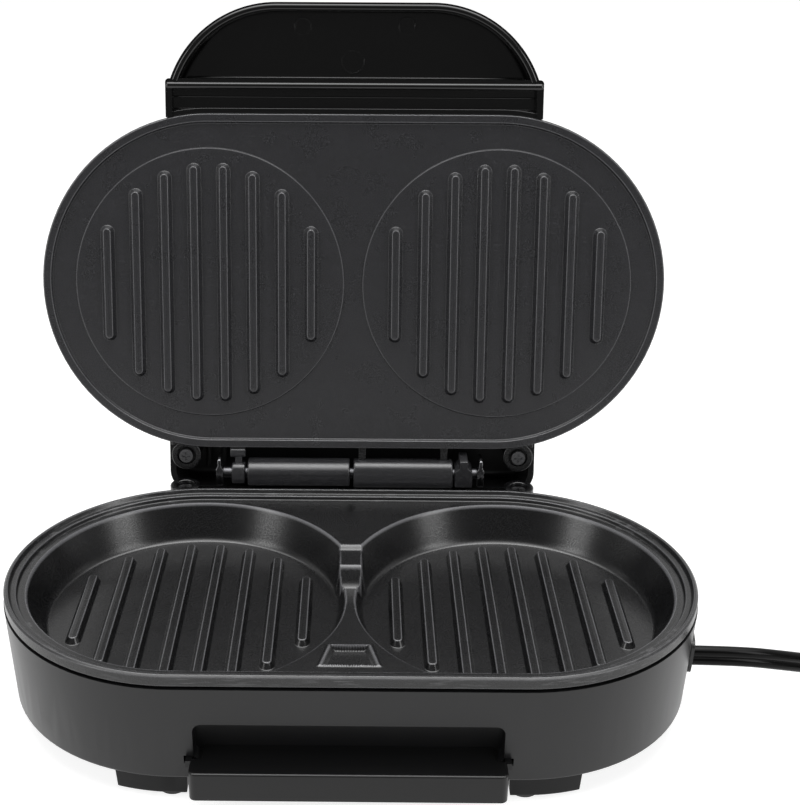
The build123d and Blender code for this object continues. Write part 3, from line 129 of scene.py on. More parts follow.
def coilPoints():
    # clockwise turns that tighten evenly, then a climb over them and out to the plug
    look = cordLook
    low, turn = look["width"] / 2, 360.0 * look["turns"]
    end = turn + look["climb"] + look["shift"]
    angle = np.arange(0, end + 0.1, look["step"])
    easing = np.clip((angle - turn) / look["climb"], 0, 1)
    easing = easing * easing * (3 - 2 * easing)
    outwards = np.clip((angle - turn - look["climb"]) / look["shift"], 0, 1)
    radius = look["outer"] + (look["inner"] - look["outer"]) * np.clip(angle / turn, 0, 1)
    radius += (look["plugRadius"] - look["inner"]) * outwards
    around = np.radians(look["entry"] - angle)
    x = look["middle"][0] + radius * np.cos(around)
    y = look["middle"][1] + radius * np.sin(around)
    return np.column_stack([x, y, low + (look["plugLevel"] - low) * easing])


def coreOutline():
    # two round cores side by side: the larger of two circles' reach, blended, in each direction
    half, r = cordLook["width"] / 2, cordLook["thick"] / 2
    shift = half - r
    around = np.linspace(0, 2 * np.pi, cordLook["sectionPoints"], endpoint=False)
    along = np.abs(np.sin(around)) * shift
    reach = along + np.sqrt(r * r - (np.cos(around) * shift) ** 2)
    return np.column_stack([reach * np.cos(around), reach * np.sin(around)])


def openSpline(name, points):
    curve = bpy.data.curves.new(name, "CURVE")
    curve.dimensions = "3D"
    spline = curve.splines.new("NURBS")
    spline.points.add(len(points) - 1)
    spline.points.foreach_set("co", np.column_stack([points, np.ones(len(points))]).ravel())
    spline.order_u = 3
    spline.use_endpoint_u = True
    return curve


def makeCord():
    core = bpy.data.curves.new("cordSection", "CURVE")
    core.dimensions = "2D"
    line = core.splines.new("POLY")
    outline = coreOutline()
    line.points.add(len(outline) - 1)
    level, weight = np.zeros(len(outline)), np.ones(len(outline))
    line.points.foreach_set("co", np.column_stack([outline, level, weight]).ravel())
    line.use_cyclic_u = True
    section = bpy.data.objects.new("cordSection", core)
    curve = openSpline("powerCord", np.concatenate([np.array(cordRoute), coilPoints()]))
    curve.bevel_mode = "OBJECT"
    curve.bevel_object = section
    curve.twist_mode = "Z_UP"
    curve.resolution_u = curve.render_resolution_u = cordLook["resolution"]
    curve.use_fill_caps = True
    return newObject("powerCord", curve)


cord = makeCord()
print("camera and cord ready")

# light and floor
studio = {
    "ambient": 0.42,  # what lights matt surfaces from all around
    "backdrop": 1.0,  # white behind the object
    "frontDark": 0.22,  # the unlit room on the camera's side
    "backTurn": (-0.35, 0.25),  # y of a direction, from the room to the white behind
    "topTurn": (0.55, 0.90),  # z of a direction, from the room to the bright ceiling
    "topWhite": 5.0,
    "floorGlow": 0.80,
    "floorColour": 0.50,
    "floorBounce": 0.8,
    "floorHalf": 4.0,
    "lampAim": (0, 0, 0.08),
}
lamps = {
    "overhead": {"at": (0.0, -0.05, 1.25), "size": (1.2, 0.75), "watts": 10.0},
    "leftFront": {"at": (-1.02, -0.72, 0.62), "size": (0.42, 0.75), "watts": 5.0},
    "rightFront": {"at": (1.02, -0.72, 0.62), "size": (0.42, 0.75), "watts": 5.0},
}


def feed(tree, value, socket):
    # another node's output is linked to the socket, a plain value is set on it
    if hasattr(value, "links"):
        tree.links.new(value, socket)
    else:
        socket.default_value = value


def mathNode(tree, operation, first, second, clamp=False):
    node = tree.nodes.new("ShaderNodeMath")
    node.operation = operation
    node.use_clamp = clamp
    feed(tree, first, node.inputs[0])
    feed(tree, second, node.inputs[1])
    return node.outputs[0]


def rangeNode(tree, value, start, end, low, high):
    node = tree.nodes.new("ShaderNodeMapRange")
    node.interpolation_type = "SMOOTHSTEP"
    for title, number in (("From Min", start), ("From Max", end), ("To Min", low), ("To Max", high)):
        node.inputs[title].default_value = number
    tree.links.new(value, node.inputs["Value"])
    return node.outputs["Result"]


def eitherRay(tree, *kinds):
    rays = tree.nodes.new("ShaderNodeLightPath")
    value = rays.outputs[kinds[0]]
    for kind in kinds[1:]:
        value = mathNode(tree, "MAXIMUM", value, rays.outputs[kind])
    return value


def mixShaders(tree, factor, first, second):
    node = tree.nodes.new("ShaderNodeMixShader")
    for socket, value in zip(node.inputs, (factor, first, second)):
        tree.links.new(value, socket)
    return node.outputs[0]


def makeWorld():
    world = bpy.data.worlds.new("studio")
    bpy.context.scene.world = world
    world.use_nodes = True
    tree = world.node_tree
    tree.nodes.clear()
    add, link = tree.nodes.new, tree.links.new
    output = add("ShaderNodeOutputWorld")
    ambient, shown, mirrored = (add("ShaderNodeBackground") for _ in range(3))
    ambient.inputs["Strength"].default_value = studio["ambient"]
    shown.inputs["Strength"].default_value = studio["backdrop"]
    direction = add("ShaderNodeTexCoord")
    parts = add("ShaderNodeSeparateXYZ")
    link(direction.outputs["Generated"], parts.inputs[0])
    behind = rangeNode(tree, parts.outputs["Y"], *studio["backTurn"], studio["frontDark"], studio["backdrop"])
    above = rangeNode(tree, parts.outputs["Z"], *studio["topTurn"], 0.0, studio["topWhite"])
    link(mathNode(tree, "MAXIMUM", behind, above), mirrored.inputs["Strength"])
    inMirrors = eitherRay(tree, "Is Glossy Ray", "Is Transmission Ray")
    lit = mixShaders(tree, inMirrors, ambient.outputs[0], mirrored.outputs[0])
    link(mixShaders(tree, eitherRay(tree, "Is Camera Ray"), lit, shown.outputs[0]), output.inputs["Surface"])


def makeLamps():
    for name, lamp in lamps.items():
        data = bpy.data.lights.new(name, "AREA")
        data.shape = "RECTANGLE"
        data.size, data.size_y = lamp["size"]
        data.energy = lamp["watts"]
        light = newObject(name, data)
        light.location = lamp["at"]
        towards = Vector(studio["lampAim"]) - Vector(lamp["at"])
        light.rotation_euler = towards.to_track_quat("-Z", "Y").to_euler()


def makeFloor():
    mesh = bpy.data.meshes.new("floor")
    half = studio["floorHalf"]
    corners = [(-half, -half, 0), (half, -half, 0), (half, half, 0), (-half, half, 0)]
    mesh.from_pydata(corners, [], [(0, 1, 2, 3)])
    floor = newObject("floor", mesh)
    material = bpy.data.materials.new("paleFloor")
    material.use_nodes = True
    tree = material.node_tree
    tree.nodes.clear()
    add, link = tree.nodes.new, tree.links.new
    output = add("ShaderNodeOutputMaterial")
    bounce = add("ShaderNodeBsdfDiffuse")
    bounce.inputs["Color"].default_value = (studio["floorBounce"],) * 3 + (1,)
    seen = add("ShaderNodeBsdfDiffuse")
    seen.inputs["Color"].default_value = (studio["floorColour"],) * 3 + (1,)
    glow = add("ShaderNodeEmission")
    glow.inputs["Strength"].default_value = studio["floorGlow"]
    both = add("ShaderNodeAddShader")
    link(seen.outputs[0], both.inputs[0])
    link(glow.outputs[0], both.inputs[1])
    looked = eitherRay(tree, "Is Camera Ray", "Is Glossy Ray")
    link(mixShaders(tree, looked, bounce.outputs[0], both.outputs[0]), output.inputs["Surface"])
    mesh.materials.append(material)


makeWorld()
makeLamps()
makeFloor()
print("studio ready")


# noise scales per metre, thresholds and gains of the surface textures
texture = {
    "coat": {
        "fine": 2700.0,
        "flecksAbove": 0.5,
        "fleckGain": 6.0,
        "broad": 90.0,
        "drift": 0.08,
        "gloss": 0.08,  # flecks are this much smoother
    },
    "scuffs": {
        "slant": (0.0, -0.55, 0.0),
        "stretch": (150.0, 300.0, 1500.0),
        "streaksAbove": 0.55,
        "streakGain": 9.0,
        "patches": 45.0,
        "patchesAbove": 0.38,
        "patchGain": 4.0,
        "colour": (0.13, 0.13, 0.134),
    },
    "grain": {"slow": 30.0},
}


# node groups shared by the materials
def newGroup(name, inputs, outputs):
    # three titles stand for colours, all others for numbers
    group = bpy.data.node_groups.new(name, "ShaderNodeTree")
    for way, titles in (("INPUT", inputs), ("OUTPUT", outputs)):
        for title in titles:
            kind = "NodeSocketColor" if title in ("Base", "Fleck", "Color") else "NodeSocketFloat"
            group.interface.new_socket(title, in_out=way, socket_type=kind)
    return group, group.nodes.new("NodeGroupInput"), group.nodes.new("NodeGroupOutput")


def mixColour(tree, factor, first, second):
    # of a mix node's sockets, 0 is the factor, 6 and 7 are the colours and output 2 is their mix
    node = tree.nodes.new("ShaderNodeMix")
    node.data_type = "RGBA"
    for i, value in ((0, factor), (6, first), (7, second)):
        feed(tree, value, node.inputs[i])
    return node.outputs[2]


def noiseNode(tree, vector, scale, detail):
    node = tree.nodes.new("ShaderNodeTexNoise")
    node.inputs["Detail"].default_value = detail
    feed(tree, vector, node.inputs["Vector"])
    feed(tree, scale, node.inputs["Scale"])
    return node.outputs["Fac"]


def peaksOf(tree, value, threshold, gain):
    # what rises above the threshold, times the gain, held between 0 and 1
    return mathNode(tree, "MULTIPLY", mathNode(tree, "SUBTRACT", value, threshold), gain, clamp=True)


def drifting(tree, base, noise, amount):
    # base moved up and down by a noise about its middle
    swing = mathNode(tree, "MULTIPLY", mathNode(tree, "SUBTRACT", noise, 0.5), amount)
    return mathNode(tree, "ADD", base, swing)


def makeSpeckle():
    # sprayed coating: fine pale flecks and an orange-peel height, by two noises
    look = texture["coat"]
    sockets = ["Base", "Fleck", "Amount", "Roughness"], ["Color", "Roughness", "Height"]
    group, inside, out = newGroup("sprayedCoat", *sockets)
    given, link = inside.outputs, group.links.new
    place = group.nodes.new("ShaderNodeTexCoord").outputs["Object"]
    grains = noiseNode(group, place, look["fine"], 1.0)
    flecks = peaksOf(group, grains, look["flecksAbove"], look["fleckGain"])
    strength = mathNode(group, "MULTIPLY", flecks, given["Amount"])
    link(mixColour(group, strength, given["Base"], given["Fleck"]), out.inputs["Color"])
    broad = noiseNode(group, place, look["broad"], 3.0)
    rough = drifting(group, given["Roughness"], broad, look["drift"])
    smoother = mathNode(group, "MULTIPLY", flecks, look["gloss"])
    link(mathNode(group, "SUBTRACT", rough, smoother), out.inputs["Roughness"])
    link(grains, out.inputs["Height"])
    return group


def makeScuffs():
    # short slanting rub marks, strongest where a broad noise lets them through
    look = texture["scuffs"]
    group, inside, out = newGroup("rubMarks", ["Amount"], ["Mask"])
    place = group.nodes.new("ShaderNodeTexCoord").outputs["Object"]
    turn = group.nodes.new("ShaderNodeMapping")
    turn.inputs["Rotation"].default_value = look["slant"]
    turn.inputs["Scale"].default_value = look["stretch"]
    group.links.new(place, turn.inputs["Vector"])
    streaks = noiseNode(group, turn.outputs["Vector"], 1.0, 2.0)
    patches = noiseNode(group, place, look["patches"], 2.0)
    lines = peaksOf(group, streaks, look["streaksAbove"], look["streakGain"])
    where = peaksOf(group, patches, look["patchesAbove"], look["patchGain"])
    rubbed = mathNode(group, "MULTIPLY", lines, where)
    group.links.new(mathNode(group, "MULTIPLY", rubbed, inside.outputs["Amount"]), out.inputs["Mask"])
    return group


def makeGrain():
    # moulded plastic or rolled sheet: a fine texture in the height and a slow change of gloss
    sockets = ["Scale", "Roughness", "Drift"], ["Roughness", "Height"]
    group, inside, out = newGroup("mouldGrain", *sockets)
    given = inside.outputs
    place = group.nodes.new("ShaderNodeTexCoord").outputs["Object"]
    fine = noiseNode(group, place, given["Scale"], 2.0)
    slow = noiseNode(group, place, texture["grain"]["slow"], 4.0)
    rough = drifting(group, given["Roughness"], slow, given["Drift"])
    group.links.new(rough, out.inputs["Roughness"])
    group.links.new(fine, out.inputs["Height"])
    return group


groups = {"coat": makeSpeckle(), "scuffs": makeScuffs(), "grain": makeGrain()}


# materials
def newMaterial(name, metallic=0.0, level=0.5, coat=0.0):
    material = bpy.data.materials.new(name)
    material.use_nodes = True
    tree = material.node_tree
    surface = tree.nodes["Principled BSDF"]
    surface.inputs["Metallic"].default_value = metallic
    surface.inputs["Specular IOR Level"].default_value = level
    surface.inputs["Coat Weight"].default_value = coat
    surface.inputs["Coat Roughness"].default_value = 0.1
    return material, tree, surface


def placeGroup(tree, group, values):
    node = tree.nodes.new("ShaderNodeGroup")
    node.node_tree = group
    for title, value in values.items():
        node.inputs[title].default_value = value
    return node


def bumpInto(tree, surface, height, strength, distance):
    bump = tree.nodes.new("ShaderNodeBump")
    bump.inputs["Strength"].default_value = strength
    bump.inputs["Distance"].default_value = distance
    tree.links.new(height, bump.inputs["Height"])
    tree.links.new(bump.outputs["Normal"], surface.inputs["Normal"])


def coatedPlate(name, base, fleck, sheenAndWearGrey, rough=0.28, scuff=0.0):
    # die-cast aluminium under a dark sprayed non-stick coat, paler along its edges: a painted highlight for
    # the light that rounded edges catch, partly edge wear of the coat
    material, tree, surface = newMaterial(name, level=0.55)
    values = {"Base": (*base, 1), "Fleck": (*fleck, 1), "Amount": 0.5, "Roughness": rough}
    coat = placeGroup(tree, groups["coat"], values)
    marks = placeGroup(tree, groups["scuffs"], {"Amount": scuff})
    rubbed = (*texture["scuffs"]["colour"], 1)
    colour = mixColour(tree, marks.outputs["Mask"], coat.outputs["Color"], rubbed)
    # painted highlight: a per-point edge value mixes the coat towards a pale grey along edges, partly worn
    # coat
    edgeSheenAndWear = tree.nodes.new("ShaderNodeAttribute")
    edgeSheenAndWear.attribute_name = "edgeSheenAndWear"
    colour = mixColour(tree, edgeSheenAndWear.outputs["Fac"], colour, (sheenAndWearGrey, sheenAndWearGrey, sheenAndWearGrey * 1.05, 1))
    tree.links.new(colour, surface.inputs["Base Color"])
    tree.links.new(coat.outputs["Roughness"], surface.inputs["Roughness"])
    bumpInto(tree, surface, coat.outputs["Height"], 0.12, 0.0001)
    return material


def grained(name, colour, rough, scale, drift, bump, depth, **surfaceLook):
    # one colour under the grain, whose scale is per metre and whose depth is in metres
    material, tree, surface = newMaterial(name, **surfaceLook)
    surface.inputs["Base Color"].default_value = (*colour, 1)
    grain = placeGroup(tree, groups["grain"], {"Scale": scale, "Roughness": rough, "Drift": drift})
    tree.links.new(grain.outputs["Roughness"], surface.inputs["Roughness"])
    bumpInto(tree, surface, grain.outputs["Height"], bump, depth)
    return material


def plastic(name, colour, rough, scale=1500.0, bump=0.15, level=0.5, coat=0.0):
    return grained(name, colour, rough, scale, 0.08, bump, 0.00006, level=level, coat=coat)


def metal(name, colour, rough):
    return grained(name, colour, rough, 900.0, 0.15, 0.1, 0.00005, metallic=1.0)


materials = {
    # one non-stick coat in lit and shaded copies: the lower plate's painted darker (painted shade), the upper
    # plate's and the barrels' painted lighter (painted light and highlight); each coat's fourth value is the
    # grey of its painted edge highlight
    "plate": coatedPlate("lowerPlateCoatShadedCopy", (0.001, 0.001, 0.0012), (0.024, 0.024, 0.026), 0.13),
    "rim": coatedPlate("rubbedRimCoat", (0.002, 0.002, 0.0022), (0.03, 0.03, 0.032), 0.07, 0.3, 0.45),
    "upperPlate": coatedPlate("upperPlateCoatLitCopy", (0.014, 0.014, 0.0155), (0.07, 0.07, 0.076), 0.09),
    "knuckle": coatedPlate("knuckleCoatLitCopy", (0.016, 0.016, 0.0175), (0.1, 0.1, 0.106), 0.1, 0.3),
    "housing": plastic("greyHousing", (0.006, 0.006, 0.0064), 0.34, bump=0.08, level=0.39),
    "handle": plastic("glossBlackHandle", (0.002, 0.002, 0.002), 0.13, bump=0.03, level=0.45),
    "ledge": plastic("satinBlackLedge", (0.004, 0.004, 0.0042), 0.3, bump=0.06, level=0.32),
    "black": plastic("mattBlackMoulding", (0.006, 0.006, 0.0065), 0.42, bump=0.2),
    "foot": plastic("blackFeet", (0.003, 0.003, 0.0032), 0.36, bump=0.15, level=0.2),
    "pad": plastic("footPadRubber", (0.012, 0.012, 0.012), 0.6, bump=0.3),
    "steel": metal("darkZincScrews", (0.16, 0.16, 0.165), 0.36),
    "pin": metal("hingePinSteel", (0.09, 0.09, 0.095), 0.4),
    "clip": metal("darkPinClips", (0.3, 0.3, 0.31), 0.24),
    "element": metal("sheathedElement", (0.2, 0.18, 0.16), 0.45),
    "bright": metal("brightSheet", (0.75, 0.75, 0.76), 0.25),
    "phenolic": plastic("phenolicBlock", (0.09, 0.04, 0.02), 0.5),
    "lead": plastic("siliconeLeads", (0.012, 0.012, 0.012), 0.5, level=0.3),
    "fuse": plastic("fuseSleeve", (0.6, 0.57, 0.48), 0.4),
    "redLens": plastic("redLens", (0.5, 0.015, 0.01), 0.12, bump=0.02, coat=0.5),
    "greenLens": plastic("greenLens", (0.02, 0.3, 0.05), 0.12, bump=0.02, coat=0.5),
    "lamp": plastic("neonLamps", (0.7, 0.4, 0.25), 0.15, coat=0.5),
    "cord": plastic("cordJacket", (0.003, 0.003, 0.003), 0.2, scale=2500.0, bump=0.08, level=0.1),
}
nodeFinish = {
    "housing": ["base_shell", "base_grip", "lid_shell"],
    "handle": ["lid_handle"],
    "black": ["bottom_cover", "strain_relief", "lamp_bracket", "cord_gland", "cord_tie", "plug"],
    "foot": [n for n in nodes if n.startswith("foot_") and "pad" not in n and "screws" not in n],
    "pad": [n for n in nodes if n.startswith("foot_pad")],
    "steel": [n for n in nodes if n.endswith("screws")],
    "pin": ["hinge_pin", "pin_cap_left", "pin_cap_right"],
    "element": ["lower_heating_element", "upper_heating_element"],
    "bright": [
        "lower_reflector", "upper_reflector", "lower_element_clips", "upper_element_clips", "thermostat",
    ],
    "phenolic": ["terminal_block"],
    "lead": ["base_leads", "lid_leads"],
    "fuse": ["lower_thermal_fuse", "upper_thermal_fuse"],
    "redLens": ["power_lens"],
    "greenLens": ["ready_lens"],
    "lamp": ["neon_lamps"],
    "cord": ["power_cord", "cord_coil"],
    "plate": ["lower_grill_plate", "upper_grill_plate"],
}


def dressNodes():
    for finish, names in nodeFinish.items():
        for name in names:
            node = nodes[name]
            if not node.data.materials:
                node.data.materials.append(None)
            for i in range(len(node.material_slots)):
                node.material_slots[i].link = "OBJECT"
                node.material_slots[i].material = materials[finish]


dressNodes()
print("materials ready")


# the angles between faces, in degrees, from which an edge is shown sharp
sharpFrom = {"built": 35.0, "rounded": 32.0}


# surfaces
def quadsOf(rows, columns, wrapRows, wrapColumns, start, flip):
    # grid of quads between neighbouring rows and columns
    i = np.arange(rows if wrapRows else rows - 1)
    j = np.arange(columns if wrapColumns else columns - 1)
    a, b = np.meshgrid(i, j, indexing="ij")
    nextA, nextB = (a + 1) % rows, (b + 1) % columns
    corners = [a * columns + b, nextA * columns + b, nextA * columns + nextB, a * columns + nextB]
    if flip:
        corners.reverse()
    return np.stack(corners, axis=-1).reshape(-1, 4) + start


def buildPiece(name, sheets, place, material, body, replaced=()):
    # sheets are (points[rows, columns, 3 or 4] in mm, wrapRows, wrapColumns, flip); the fourth
    # value of a point says how much painted edge highlight, partly edge wear, its colour gets
    points, faces, edgeSheenAndWear, count = [], [], [], 0
    for sheetPoints, wrapRows, wrapColumns, flip in sheets:
        rows, columns = sheetPoints.shape[:2]
        points.append(sheetPoints[..., :3].reshape(-1, 3))
        edgeSheenAndWear.append(sheetPoints[..., 3].ravel() if sheetPoints.shape[2] > 3 else np.zeros(rows * columns))
        faces.append(quadsOf(rows, columns, wrapRows, wrapColumns, count, flip))
        count += rows * columns
    points, faces = np.concatenate(points) * mm, np.concatenate(faces)
    turn = np.array(place)
    points = points @ turn[:3, :3].T + turn[:3, 3]
    mesh = bpy.data.meshes.new(name)
    mesh.from_pydata(points.tolist(), [], faces.tolist())
    mesh.validate()
    # the painted edge highlight (partly edge wear) of each point, read by the coat's colour
    mesh.attributes.new("edgeSheenAndWear", "FLOAT", "POINT").data.foreach_set("value", np.concatenate(edgeSheenAndWear))
    mesh.shade_smooth()
    mesh.set_sharp_from_angle(angle=math.radians(sharpFrom["built"]))
    mesh.materials.append(material)
    piece = newObject(name, mesh)
    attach(piece, body)
    if replaced:
        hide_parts(*replaced)
    return piece


def stadium(half, arcSteps, straightSteps, lengthwise=True):
    # centres and outward normals around a stadium: a point of it is centre + normal * radius
    arc = np.linspace(-np.pi / 2, np.pi / 2, arcSteps)
    run = np.linspace(0, 1, straightSteps + 2)[1:-1]
    centres = np.concatenate([
        np.column_stack([np.full(arcSteps, half), np.zeros(arcSteps)]),
        np.column_stack([half - 2 * half * run, np.zeros(straightSteps)]),
        np.column_stack([np.full(arcSteps, -half), np.zeros(arcSteps)]),
        np.column_stack([-half + 2 * half * run, np.zeros(straightSteps)]),
    ])
    up, down = np.tile([0.0, 1.0], (straightSteps, 1)), np.tile([0.0, -1.0], (straightSteps, 1))
    normals = np.concatenate([
        np.column_stack([np.cos(arc), np.sin(arc)]), up, np.column_stack([-np.cos(arc), -np.sin(arc)]), down,
    ])
    if not lengthwise:
        centres, normals = centres[:, ::-1] * (-1, 1), normals[:, ::-1] * (-1, 1)
    return centres, normals


def roundedLine(corners, steps=5, closed=False):
    # an open or closed line through (a, b, radius) corners with every corner rounded by an arc
    corners = np.array(corners, float)
    count = len(corners)
    parts = []
    for i in range(count):
        here, radius = corners[i, :2], corners[i, 2]
        if radius == 0 or (not closed and i in (0, count - 1)):
            parts.append(here[None])
            continue
        before, after = corners[i - 1, :2] - here, corners[(i + 1) % count, :2] - here
        before, after = before / np.linalg.norm(before), after / np.linalg.norm(after)
        halfAngle = np.arccos(np.clip(before @ after, -1, 1)) / 2
        reach = radius / np.tan(halfAngle)
        middle = here + (before + after) / np.linalg.norm(before + after) * radius / np.sin(halfAngle)
        first, last = here + before * reach - middle, here + after * reach - middle
        sweep = np.pi - 2 * halfAngle
        t = np.linspace(0, 1, steps)[:, None]
        parts.append(middle + (np.sin((1 - t) * sweep) * first + np.sin(t * sweep) * last) / np.sin(sweep))
    return np.concatenate(parts)


def carry(path, profile, shift=(0, 0, 0)):
    # profile (radius, height) carried around the centres and normals of a path
    centres, normals = path
    flat = centres[:, None] + normals[:, None] * profile[None, :, :1]
    heights = np.broadcast_to(profile[None, :, 1:], flat.shape[:2] + (1,))
    return np.concatenate([flat, heights], axis=2) + np.array(shift)


def smoothMin(a, b, blend):
    h = np.clip(blend - np.abs(a - b), 0, None) / blend
    return np.minimum(a, b) - h * h * blend / 4


def smoothMax(a, b, blend):
    return -smoothMin(-a, -b, blend)


plates = {
    "half": 56.8,  # half of the straight stretch
    "radius": 66.5,
    "step": 1.5,  # the lower field below the plane where the plates' inner bands lie
    "upperStep": 2.6,
    "wall": 2.5,
    "skirtInset": 2.9,
    "skirtDepth": 9.0,
    "fieldEdge": 60.6,
    "wellX": 57.0,
}
wells = {
    "depth": 15.6,
    "floor": 53.1,
    "mouth": 58.7,
    "land": 10.0,
    "bridgeHalf": 3.9,
    "bridgeTop": 3.0,
    "bridgeTaper": 0.35,
    "taperReach": 5,
    "bridgeFront": 12.4,
    "bridgeRear": 23.8,
    "bridgeSlope": 1.7,
    "blockBelow": 0.4,  # the bridge's block below the field, with steep sides
    "blockSlope": 8,
    "blockRear": 2,
    "pocketNear": 42.5,
    "pocketFar": 30.5,
    "pocketNearHalf": 9.4,
    "pocketFarHalf": 6.55,
    "pocketDepth": 1.7,
    "pocketBead": 0.5,
    "pocketSides": 1.1,  # slopes of its walls
    "pocketEnds": 2.6,
    "beadOut": 0.5,
    "beadWidth": 0.75,
}
wells["slope"] = (wells["depth"] - plates["step"]) / (wells["mouth"] - wells["floor"])
blends = {
    # how widely two slopes of the lower field run into each other
    "floor": 2.6,
    "brim": 0.8,
    "saddle": 0.9,
    "block": 0.8,
    "slopeTop": 1.2,
    "land": 2.0,
    "bridgeRear": 0.6,
    "cut": 0.7,
    "pocketEnds": 0.3,
    "pocketCorners": 0.5,
    "pocketFloor": 0.6,
    "pocketEdge": 0.5,
}
ribs = {
    "pitch": 11.5,
    "foot": 2.7,
    "top": 1.43,
    "height": 2.3,
    "reach": 47.8,
    "pairs": 4,
    "apron": 0.9,  # how far the rib's foot runs out, a little below the field
    "apronBelow": 0.02,
    "crown": 0.06,
    "seam": 0.02,  # half of the slit left along the top
}
discs = {"radius": 53.4, "rise": 0.7, "steepness": 2.2, "blend": 0.25}
rims = {
    # corners of each band and step: inset from the outer edge, height, rounding; the lower
    # plate's lip meets the upper plate's band when the lid is shut
    "lower": [
        (0, 1.0, 0.4), (0.7, 1.6, 0.3), (1.5, 1.6, 0.3),
        (2.3, 0.05, 0.4), (4.2, 0, 0.4), (4.65, -1.5, 0.4),
    ],
    "upper": [(0, -1.4, 0.35), (3.0, -1.4, 0.3), (3.6, -2.6, 0.35)],
}
# how far the painted edge highlight, partly edge wear, spreads: a point is held this far from the ends of a
# run, heights are compared over this step, a bend (per mm) counts in full from here, and a height's only past
# the least
edgeSheenAndWearShape = {"hold": 0.22, "step": 0.25, "full": 2.2, "least": 0.08}
# degrees of the rays around a field's centre, where they are few, many and twice as many
rayTurns = {"side": (-100, 100), "middle": (100, 260), "bridge": (198, 228)}
# radii of the points along a ray, out to its even stretch towards the edge
fieldRadii = {
    "lower": np.concatenate([[0.01, 20, 40, 49], np.arange(51, 60.05, 0.36)]),
    "upper": np.concatenate([[0.01, 25, 45, 52], np.arange(52.7, 54.1, 0.1), [56.0]]),
}


def rimSheet(corners):
    # rim of a plate: skirt, outer wall, band and inner step carried around the stadium
    r = plates["radius"]
    profile = holdEdges(roundedLine([
        (r - plates["skirtInset"], -plates["skirtDepth"], 0),
        (r - plates["skirtInset"], -plates["wall"], 0.2),
        (r, -plates["wall"], 0.35),
        *[(r - inset, height, rounding) for inset, height, rounding in corners],
        (plates["fieldEdge"], corners[-1][1], 0),
    ]))
    around = carry(stadium(plates["half"], 97, 25), profile)
    return withEdgeSheenAndWear(around, profileBend(profile)), True, False, False


def holdEdges(profile):
    # two more points on each long run, a little in from its ends, so that an edge stays narrow
    parts, reach = [profile[:1]], edgeSheenAndWearShape["hold"]
    for start, end in zip(profile[:-1], profile[1:]):
        run = end - start
        length = math.hypot(*run)
        if length > 3 * reach:
            parts.append(np.array([start + run * reach / length, end - run * reach / length]))
        parts.append(end[None])
    return np.concatenate(parts)


def profileBend(profile):
    # sine of the turn between neighbouring runs over their length, left turns only, 0 to 1
    runs = np.diff(profile, axis=0)
    length = np.maximum(np.linalg.norm(runs, axis=1), 1e-6)
    turn = (runs[:-1, 0] * runs[1:, 1] - runs[:-1, 1] * runs[1:, 0]) / (length[:-1] * length[1:])
    return np.clip(np.pad(2 * turn / (length[:-1] + length[1:]), 1) / edgeSheenAndWearShape["full"], 0, 1)


def heightBend(height, x, y):
    # how sharply a height falls away on all sides: its second differences, hollows left at 0
    step = edgeSheenAndWearShape["step"]
    around = height(x + step, y) + height(x - step, y) + height(x, y + step) + height(x, y - step)
    return np.clip((4 * height(x, y) - around) / step**2 / edgeSheenAndWearShape["full"] - edgeSheenAndWearShape["least"], 0, 1)


def withEdgeSheenAndWear(points, bend):
    # a fourth value for each point: how much painted highlight, partly edge wear, makes its edge paler
    return np.concatenate([points, np.broadcast_to(bend, points.shape[:2])[..., None]], axis=2)


def polarDisc(angles, radii, edge):
    # rays from a round field's centre, right half of the plate, out to the edge or the middle
    # line; the inner points of a short ray are drawn in so that they keep short of its end
    margin = 0.4
    c, s = np.cos(angles), np.sin(angles)
    wellX, half = plates["wellX"], plates["half"]
    with np.errstate(divide="ignore"):
        toMiddle = np.where(c < -1e-9, -wellX / c, 1e9)
        toSide = edge / np.maximum(np.abs(s), 1e-9)
    off = wellX - half
    toArc = -off * c + np.sqrt(edge**2 - (off * s) ** 2)
    reach = np.where(wellX + toSide * c < half, toSide, toArc)
    reach = np.minimum(reach, toMiddle)
    inner = radii[None, :] * np.minimum(1.0, (reach[:, None] - margin) / radii[-1])
    return inner, reach


def fieldGrid(height, denseStep, sideStep, innerRadii, outerCount):
    # height(x, y) over the right half of a plate, on rays that are dense towards the middle
    side = np.arange(*rayTurns["side"], sideStep)
    middle = np.arange(*rayTurns["middle"], denseStep)
    between = np.arange(*rayTurns["bridge"], denseStep) + denseStep / 2
    corner = math.degrees(math.atan2(plates["fieldEdge"], -plates["wellX"]))
    angles = np.radians(np.unique(np.concatenate([side, middle, between, [corner, 360 - corner]])))
    inner, reach = polarDisc(angles, innerRadii, plates["fieldEdge"])
    t = np.linspace(0, 1, outerCount + 1)[1:]
    outer = inner[:, -1:] + (reach[:, None] - inner[:, -1:]) * t
    radius = np.concatenate([inner, outer], axis=1)
    x = plates["wellX"] + radius * np.cos(angles)[:, None]
    y = radius * np.sin(angles)[:, None]
    return withEdgeSheenAndWear(np.stack([x, y, height(x, y)], axis=2), heightBend(height, x, y))


